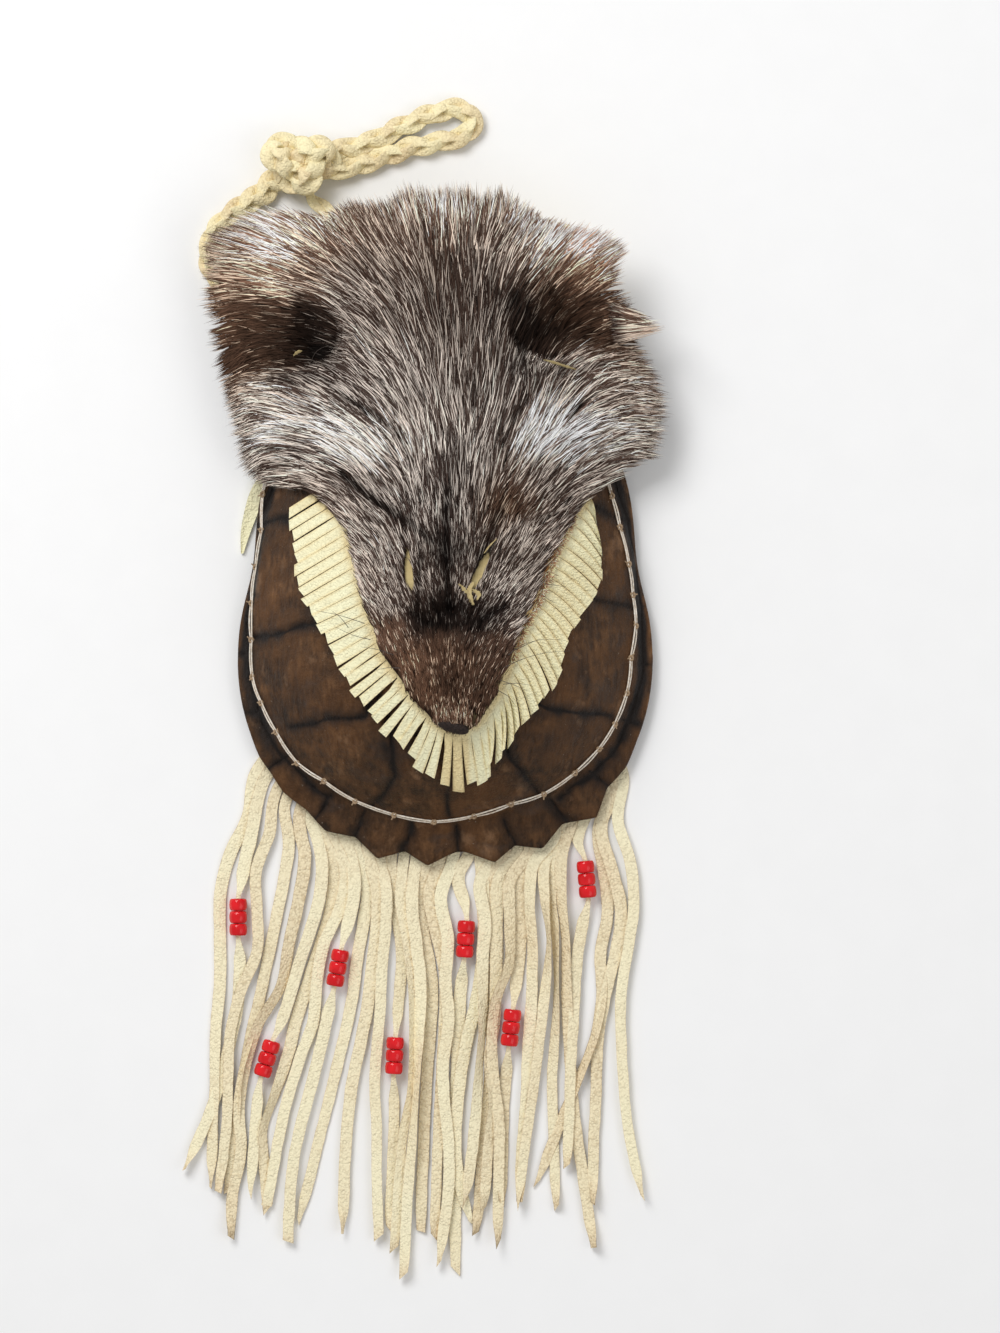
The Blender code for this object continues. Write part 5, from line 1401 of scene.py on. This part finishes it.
# Folds of the hide, as seen, with the painted shadow in them: points, half width and strength
SEEN_FOLDS = (
    (((345, 397), (365, 411), (398, 433)), 2.0, 0.75),
    (((335, 470), (362, 491), (395, 515), (434, 541)), 2.2, 0.8),
    (((448, 490), (446, 545), (450, 612)), 2.6, 0.7),
    (((413, 614), (430, 624), (452, 627)), 2.4, 0.75), (((450, 627), (478, 622), (506, 606)), 2.0, 0.65),
    (((432, 600), (440, 616), (446, 630)), 1.6, 0.6), (((462, 606), (468, 618), (480, 628)), 1.6, 0.5),
    (((421, 555), (419, 590), (418, 610)), 1.6, 0.6),
    (((541, 383), (522, 405), (508, 438)), 2.6, 0.6),
    (((505, 505), (492, 535), (480, 560)), 2.0, 0.6),
    (((513, 300), (516, 340), (524, 366)), 3.0, 0.7),
    (((334, 320), (337, 350), (330, 372)), 2.6, 0.7),
    (((262, 384), (292, 378), (322, 377)), 2.0, 0.5),
    (((545, 372), (580, 371), (606, 366)), 1.8, 0.6),
    (((396, 668), (410, 690), (432, 715)), 1.8, 0.35),
)
# Hollows of the ears, as seen: middle, half width and half height
SEEN_HOLLOWS = ((282, 335, 64, 40), (552, 327, 46, 36))
CLUMPS = 12200
HAIRS_PER_CLUMP = 9
HAIR_PIECES = 5
HAIR_STEPS = 3
HAIR_TAPER = (0.9, 1.0, 0.75, 0.0)
# Colours of the hair where it is cool and where it is warm: its roots, its silver tips and its brown tips
HAIR_COLOURS = (
    ((0.026, 0.017, 0.014), (0.064, 0.031, 0.021)), ((0.98, 0.860, 0.760), (1.0, 0.700, 0.480)),
    ((0.098, 0.066, 0.054), (0.200, 0.105, 0.064)),
)
FOLD_DEPTH = 2.2
FUZZ_HAIRS = 1500
TUFT_HAIRS = 300
SEEN_NOSE = (453, 725)


def hair_field(x, y):
    """Direction, length, depth, silver share, warmth and tone of the hair at each place."""
    anchors = np.array(HAIR, float)
    at_x, at_y = seen(anchors[:, 0], anchors[:, 1])
    turn = np.radians(anchors[:, 2])
    values = np.column_stack([np.cos(turn), np.sin(turn), anchors[:, 3:]])
    total, weights = np.zeros((len(x), values.shape[1])), np.zeros(len(x))
    for index in range(len(anchors)):
        weight = 1 / (np.square(x - at_x[index]) + np.square(y - at_y[index]) + 16.0) ** 1.8
        total += weight[:, None] * values[index]
        weights += weight
    total /= weights[:, None]
    total[:, :2] /= np.linalg.norm(total[:, :2], axis=1)[:, None]
    return total


def eye_share(x, y):
    """1 in the middle of an eye slit, 0 on its edge, below 0 outside."""
    best = np.full(np.shape(x), -9.0)
    for at_x, at_y, turn in EYES:
        turn = math.radians(turn)
        along = (x - at_x) * math.cos(turn) + (y - at_y) * math.sin(turn)
        across = (y - at_y) * math.cos(turn) - (x - at_x) * math.sin(turn)
        best = np.maximum(best, 1 - np.hypot(along / (EYE_LENGTH / 2), across / (EYE_WIDTH / 2)))
    return best


def fur_depth(x, y):
    """How deep the fur is between the hide and the flap's upper side."""
    room = flap_top(x, y) - flap_under(x, y) - 1.2
    wanted = hair_field(np.ravel(x), np.ravel(y))[:, 3].reshape(np.shape(x))
    return np.minimum(wanted, np.maximum(0.6, room))


def hide_inset(y):
    """How far inside the fur's outline the hide's own edge is."""
    return 2.0 + 6.5 * smooth_step((y - 35.0) / 40.0)


def build_skin(material):
    """The fox hide under its hair, with the eye slits open on the pale lining."""
    columns, rows = 96, 150
    y = np.linspace(HINGE_Y + 1.0, -65.5, rows)[:, None] + np.zeros((1, columns))
    rusty = bell((y - 8.0) / 40.0)
    left, right = flap_sides(y)
    left = left + hide_inset(y)
    right = right - hide_inset(y) + 1.4 * rusty
    span = 0.5 - 0.5 * np.cos(math.pi * np.linspace(0, 1, columns))
    share = 0.25 * span + 0.75 * np.linspace(0, 1, columns)
    x = left + (right - left) * share
    under = flap_under(x, y)
    open_eye = smooth_step((eye_share(x, y) + 0.10) / 0.2)
    shown = flap_top(x, y) - FOLD_DEPTH * fold_shadow(x, y) - fur_depth(x, y)
    high = np.maximum(shown, under + 0.8)
    high = high + (under + 0.5 - high) * open_eye
    top = np.stack([x, y, high], -1)
    low = np.stack([x, y, under], -1)
    shade = open_eye + 2.0 * rusty * smooth_step((x - right + 6.0) / 2.0) * (1 - open_eye)
    pile = Pile()
    pile.add_ribbon(top, low, shade)
    draw = np.random.default_rng(33)
    for points, wide in SEEN_TORN:
        flat = np.array(smooth_line([seen(*place) for place in points], 22))
        high = flap_top(flat[:, 0], flat[:, 1]) + 0.2 + 0.4 * waves(flat[:, 0], flat[:, 1], 4.0, 71)
        side = left_of(directions(flat))
        swell = wide * np.sin(math.pi * np.linspace(0.08, 0.92, 22)) * draw.uniform(0.55, 1.2, 22)
        across = np.linspace(-0.5, 0.5, 4)
        torn = flat[:, None] + side[:, None] * (swell[:, None] * across)[..., None]
        torn = np.concatenate([torn, (high[:, None] + across)[..., None]], -1)
        pile.add_ribbon(torn, torn - (0, 0, 0.7), 0.72)
    skin = pile.make("fox_hide", [material])
    dress(skin, "flap", "fur_flap")


def hair_paths(x, y, length, swing):
    """Points of hairs that follow the way the hair lies, from their roots."""
    line = [np.stack([x, y], -1)]
    cos, sin = np.cos(swing), np.sin(swing)
    for step in range(HAIR_STEPS):
        lie = hair_field(line[-1][:, 0], line[-1][:, 1])[:, :2]
        lie = np.stack([lie[:, 0] * cos - lie[:, 1] * sin, lie[:, 0] * sin + lie[:, 1] * cos], -1)
        line.append(line[-1] + lie * (length / HAIR_STEPS)[:, None])
    return np.stack(line, 1)


def fur_margin(x, y):
    """How far inside the hair's outline each place is, below 0 outside."""
    ring = [seen(*place) for place in SEEN_FUR]
    ring.append(ring[0])
    inside = np.zeros(x.shape, bool)
    for (ax, ay), (bx, by) in zip(ring, ring[1:]):
        crosses = (ay > y) != (by > y)
        level = (y - ay) / (by - ay if by != ay else 1e-9)
        inside ^= crosses & (x < ax + (bx - ax) * level)
    far = polyline_distance(x, y, [ring])
    return np.where(inside, far, -far)


def hollow_share(x, y):
    """1 in the middle of an ear's hollow, 0 on its edge, below 0 outside."""
    best = np.full(x.shape, -9.0)
    for u, v, half_wide, half_high in SEEN_HOLLOWS:
        at_x, at_y = seen(u, v)
        best = np.maximum(best, 1 - np.hypot((x - at_x) * 2 / half_wide, (y - at_y) * 2 / half_high))
    return best


def fold_shadow(x, y):
    """Depth of the folds, from 0 to 1, which also sets the painted shadow on the hair in them."""
    dark = np.zeros(x.shape)
    for points, half_width, strength in SEEN_FOLDS:
        line = [seen(*place) for place in points]
        dark = np.maximum(dark, strength * bell(polyline_distance(x, y, [line]) / half_width))
    return dark


def fur_roots(draw):
    """Places of the clumps: all over the hide, but not in the eyes, and fewer where the hair is long."""
    y = draw.uniform(-67.0, HINGE_Y + 2.0, 16 * CLUMPS)
    x = draw.uniform(-114.0, 106.0, y.shape)
    left, right = flap_sides(y)
    inset = hide_inset(y)
    rusty = 2.6 * bell((y - 8.0) / 34.0)
    keep = (x > left + inset) & (x < right - inset - rusty) & (eye_share(x, y) < 0.0)
    keep &= draw.random(y.shape) < 0.42 + 0.58 * smooth_step((38.0 - y) / 26.0)
    return np.column_stack([x, y])[keep][:CLUMPS]


def fitting_share(root, lead, room):
    """Share of each hair's length that keeps it near the outline and out of the ears' hollows."""
    in_hollow = hollow_share(root[:, 0], root[:, 1]) > 0.0
    share = np.full(len(root), 0.22)
    for trial in (0.35, 0.5, 0.65, 0.8, 1.0):
        at = root + lead * trial
        fits = fur_margin(at[:, 0], at[:, 1]) > -room
        fits &= in_hollow | (hollow_share(at[:, 0], at[:, 1]) < 0.12)
        share = np.where(fits, trial, share)
    return share


def build_fur(material):
    """Hair in small clumps, whose hairs run closer together towards their tips."""
    draw = np.random.default_rng(21)
    roots = fur_roots(draw)
    count = len(roots)
    field = hair_field(roots[:, 0], roots[:, 1])
    upper = smooth_step((roots[:, 1] - 38.0) / 40.0)
    length = field[:, 2] * (1.15 + 0.35 * upper) * draw.uniform(0.8, 1.2, count)
    stray = 0.11 * waves(roots[:, 0], roots[:, 1], 12.0, 53, 16)
    paths = hair_paths(roots[:, 0], roots[:, 1], length, draw.normal(0, 0.09, count) + stray)
    streak = 0.5 * waves(roots[:, 0], roots[:, 1], 6.0, 51, 20)
    tone = draw.normal(0, 0.16, count) + 0.24 * streak + 0.12 * waves(roots[:, 0], roots[:, 1], 20.0, 52)
    total, owner = count * HAIRS_PER_CLUMP, np.repeat(np.arange(count), HAIRS_PER_CLUMP)
    share = np.linspace(0, 1, HAIR_STEPS + 1)
    spread = draw.normal(0, 1.0, (total, 2)) * (0.45 + 0.055 * field[owner, 2])[:, None]
    stretch = draw.uniform(0.6, 1.12, total)
    guide = paths[owner]
    base = guide[:, :1] + spread[:, None]
    lead = (guide - guide[:, :1]) * stretch[:, None, None]
    edge_room = 1.1 + 1.9 * smooth_step((base[:, 0, 1] - 40.0) / 60.0)
    room = np.minimum(draw.exponential(1.0, total) * edge_room, 4.0)
    line = base + lead * fitting_share(base[:, 0], lead[:, -1], room)[:, None, None]
    closing = 0.40 + 0.35 * smooth_step((base[:, 0, 1] - 30.0) / 30.0)
    line = line - spread[:, None] * (closing[:, None] * share)[..., None]
    line = line + draw.normal(0, 0.16, line.shape) * share[None, :, None]
    flat_x, flat_y = line[..., 0], line[..., 1]
    depth = fur_depth(flat_x, flat_y)
    surface = flap_top(flat_x, flat_y) - FOLD_DEPTH * fold_shadow(flat_x, flat_y)
    layer = draw.beta(2.2, 1.3, total)[:, None]
    rise = layer * depth * smooth_step(share[None] * 2.4)
    height = surface - depth + rise + 0.5 * (layer - 0.5) * share[None]
    height = np.maximum(height, flap_under(flat_x, flat_y) + 0.3 + 0.5 * share[None])
    line = np.concatenate([line, height[..., None]], -1)
    mine = hair_field(line[:, 0, 0], line[:, 0, 1])
    middle = line[:, 1:].mean(axis=1)
    # Painted shadow in the folds: hair there is darker and less often silver
    shadow = fold_shadow(middle[:, 0], middle[:, 1])
    mine[:, 6] *= 1 - shadow
    mine[:, 4] *= 1 - 0.7 * shadow
    # Painted shade: hairs lower in the coat are darker, as if shadowed by those above
    mine[:, 6] *= 0.32 + 0.68 * layer[:, 0] ** 1.3
    hidden = (eye_share(flat_x[:, 1:], flat_y[:, 1:]) > 0.45).any(axis=1)
    hidden |= eye_share(flat_x[:, 0], flat_y[:, 0]) > 0.05
    write_hairs("fox_hair", line[~hidden], mine[~hidden], tone[owner][~hidden], draw, material, HAIR_PIECES)


def hair_colours(mine, tone, draw):
    """Colour of each hair at its steps: dark at the root, and silver, warm or brown towards the tip."""
    total = len(mine)
    share = np.linspace(0, 1, HAIR_STEPS + 1)[None, :, None]
    silver = (draw.random(total) - 0.6 * tone < 0.80 * mine[:, 4])[:, None, None]
    warm, light = mine[:, 5][:, None, None], mine[:, 6][:, None, None]
    light = light * (1 + 0.9 * tone[:, None, None] + draw.normal(0, 0.20, (total, 1, 1)))
    light = np.maximum(light, 0.03)
    dark, pale, brown = (np.array(cool) * (1 - warm) + np.array(red) * warm for cool, red in HAIR_COLOURS)
    band = smooth_step((share - 0.02) / 0.36)
    colour_silver = dark * light + (pale - dark) * light * band
    colour_dark = dark * light + (brown - dark) * light * band
    return np.clip(np.where(silver, colour_silver, colour_dark), 0.0012, 0.95)


def write_hairs(name, line, mine, tone, draw, material, pieces):
    """Each hair is a narrow tapering strip of triangles."""
    colours = hair_colours(mine, tone, draw)
    total, steps = line.shape[:2]
    along = np.gradient(line, axis=1)
    along /= np.linalg.norm(along, axis=2)[..., None] + 1e-9
    roll = draw.normal(0, 0.4, total)
    up = np.stack([np.sin(roll), 0 * roll, np.cos(roll)], -1)[:, None]
    side = np.cross(along, np.broadcast_to(up, along.shape))
    side /= np.linalg.norm(side, axis=2)[..., None] + 1e-9
    thick = (0.125 + 0.0050 * np.minimum(mine[:, 2], 18.0)) * draw.uniform(0.75, 1.3, total)
    half = side * (thick[:, None] * np.array(HAIR_TAPER))[..., None]
    points = np.concatenate([(line - half)[:, :-1], (line + half)[:, :-1], line[:, -1:]], 1)
    tints = np.concatenate([colours[:, :-1], colours[:, :-1], colours[:, -1:]], 1)
    last, per = steps - 1, 2 * (steps - 1) + 1
    faces = []
    for step in range(last - 1):
        a, b = step, step + last
        faces += [(a, a + 1, b + 1), (a, b + 1, b)]
    faces.append((last - 1, 2 * last, 2 * last - 1))
    faces = np.array(faces)
    for piece, chosen in enumerate(np.array_split(np.arange(total), pieces)):
        count = len(chosen)
        data = bpy.data.meshes.new(f"{name}_{piece + 1}")
        data.vertices.add(count * per)
        data.vertices.foreach_set("co", (points[chosen] * MM).astype(np.float32).ravel())
        index = (faces[None] + (np.arange(count) * per)[:, None, None]).reshape(-1, 3)
        data.loops.add(index.size)
        data.loops.foreach_set("vertex_index", index.ravel().astype(np.int32))
        data.polygons.add(len(index))
        data.polygons.foreach_set("loop_start", np.arange(0, index.size, 3, dtype=np.int32))
        data.update(calc_edges=True)
        tint = data.color_attributes.new("hair", "FLOAT_COLOR", "POINT")
        rgba = np.concatenate([tints[chosen].reshape(-1, 3), np.ones((count * per, 1))], 1)
        tint.data.foreach_set("color", rgba.astype(np.float32).ravel())
        data.materials.append(material)
        data.shade_smooth()
        item = bpy.data.objects.new(data.name, data)
        bpy.context.scene.collection.objects.link(item)
        dress(item, "flap", "fur_flap")


def same_field(count, *values):
    """The same length, depth, silver share, warmth and tone for each of some hairs."""
    mine = np.zeros((count, 7))
    mine[:, 2:] = values
    return mine


def build_edge_fuzz(material, draw):
    """Short rusty hair on the right edge of the hide."""
    edge = np.array(smooth_line([seen(*place) for place in RUSTY_EDGE], 60))
    count = FUZZ_HAIRS
    base = edge[draw.integers(0, 60, count)] + draw.normal(0, 0.9, (count, 2)) - (0.8, 0)
    turn = np.radians(draw.normal(-25, 55, count))
    reach = draw.uniform(1.0, 3.2, count)
    share = np.linspace(0, 1, HAIR_STEPS + 1)
    way = np.stack([np.cos(turn), np.sin(turn)], -1)
    line = base[:, None] + way[:, None] * (reach[:, None] * share)[..., None]
    rise = draw.uniform(0.3, 1.8, count)[:, None] * share[None]
    height = flap_under(line[..., 0], line[..., 1]) + 0.5 + rise
    line = np.concatenate([line, height[..., None]], -1)
    mine = same_field(count, 4.0, 2.0, 0.45, 1.5, 1.6)
    write_hairs("edge_fuzz", line, mine, draw.normal(0, 0.2, count), draw, material, 1)


def build_tuft(material, draw):
    """The long tuft that sticks out behind the right ear."""
    count = TUFT_HAIRS
    start = np.array([seen(*place) for place in SEEN_TUFT[:2]])
    tip = np.array([seen(*place) for place in SEEN_TUFT[2:]])
    place = draw.random(count)[:, None]
    base = start[0] + (start[1] - start[0]) * place + draw.normal(0, 1.2, (count, 2))
    goal = tip[0] + (tip[1] - tip[0]) * place
    reach = draw.uniform(0.55, 1.02, count)[:, None]
    goal = base + (goal + draw.normal(0, 1.3, (count, 2)) - base) * reach
    share = np.linspace(0, 1, HAIR_STEPS + 1)
    line = base[:, None] + (goal - base)[:, None] * share[None, :, None]
    root_height = float(flap_top(start[:1, 0], start[:1, 1])[0])
    height = root_height - 3.0 + draw.uniform(1.0, 4.0, count)[:, None] - 2.5 * share[None] ** 2
    line = np.concatenate([line, height[..., None]], -1)
    mine = same_field(count, 18.0, 5.0, 0.75, 0.45, 0.95)
    write_hairs("fox_tuft", line, mine, draw.normal(0, 0.2, count), draw, material, 1)


def build_whiskers(material):
    """Single stiff hairs that lie over the lining."""
    pile = Pile()
    share = np.linspace(0, 1, 14)
    for points in SEEN_WHISKERS:
        flat = np.array(smooth_line([seen(*place) for place in points], 14))
        high = np.maximum(flap_top(flat[:, 0], flat[:, 1]), flap_under(flat[:, 0], flat[:, 1]) + 2.2)
        line = np.column_stack([flat, high + 1.0 * np.sin(math.pi * share)])
        up = np.tile((0.0, 0.0, 1.0), (14, 1))
        pile.add_tube(line, 5, 0.20 - 0.14 * share, 0.20 - 0.14 * share, up)
    whiskers = pile.make("fox_whiskers", [material])
    dress(whiskers, "flap", "fur_flap")


def build_nose(material):
    """The dark leathery edge of the nose at the tip of the muzzle."""
    around, rings = 40, 18
    turn = 2 * math.pi * np.arange(around) / around
    centre_x, centre_y = seen(*SEEN_NOSE)
    tilt = math.radians(-20)
    base = float(flap_top(np.array([centre_x]), np.array([centre_y + 5.0]))[0]) - 4.6
    rows = []
    for lift in np.linspace(-0.5 * math.pi, 0.5 * math.pi, rings):
        wide, high = math.cos(lift), math.sin(lift)
        x = 8.6 * wide * np.sign(np.cos(turn)) * np.abs(np.cos(turn)) ** 0.85
        y = 3.4 * wide * np.sin(turn)
        z = 3.0 * high + 0 * x - 0.4 * bell(x / 0.7) * (y < 0)
        turned_x = x * math.cos(tilt) - y * math.sin(tilt)
        turned_y = x * math.sin(tilt) + y * math.cos(tilt)
        rows.append(np.stack([centre_x + turned_x, centre_y + turned_y, base + z], -1))
    faces = capped_faces(rings, around)
    pile = Pile()
    pile.add(np.array(rows), faces)
    nose = pile.make("fox_nose", [material])
    dress(nose, "flap", "fur_flap")


def main():
    set_camera()
    strap_hide = make_hide("strap_hide", (1.0, 0.90, 0.57), (0.90, 0.74, 0.46), 0.35)
    build_strap(strap_hide)
    set_light()
    make_floor()
    build_carapace(make_horn())
    build_lacing(make_sinew(), make_tan_knot())
    fringe_hide = make_hide("fringe_hide", (1.0, 0.92, 0.65), (0.93, 0.78, 0.53), 0.4)
    build_back(fringe_hide)
    beads = all_beads()
    build_long_fringe(fringe_hide, beads)
    build_beads(make_bead_red(), beads)
    pale_hide = make_hide("pale_hide", (0.99, 0.96, 0.66), (0.92, 0.76, 0.42), 0.16)
    build_side_end(pale_hide)
    build_lining(pale_hide)
    build_skin(make_skin())
    hair = make_fur()
    build_fur(hair)
    edge_draw = np.random.default_rng(5)
    build_edge_fuzz(hair, edge_draw)
    build_tuft(hair, edge_draw)
    build_whiskers(make_whisker())
    build_nose(make_nose())


main()
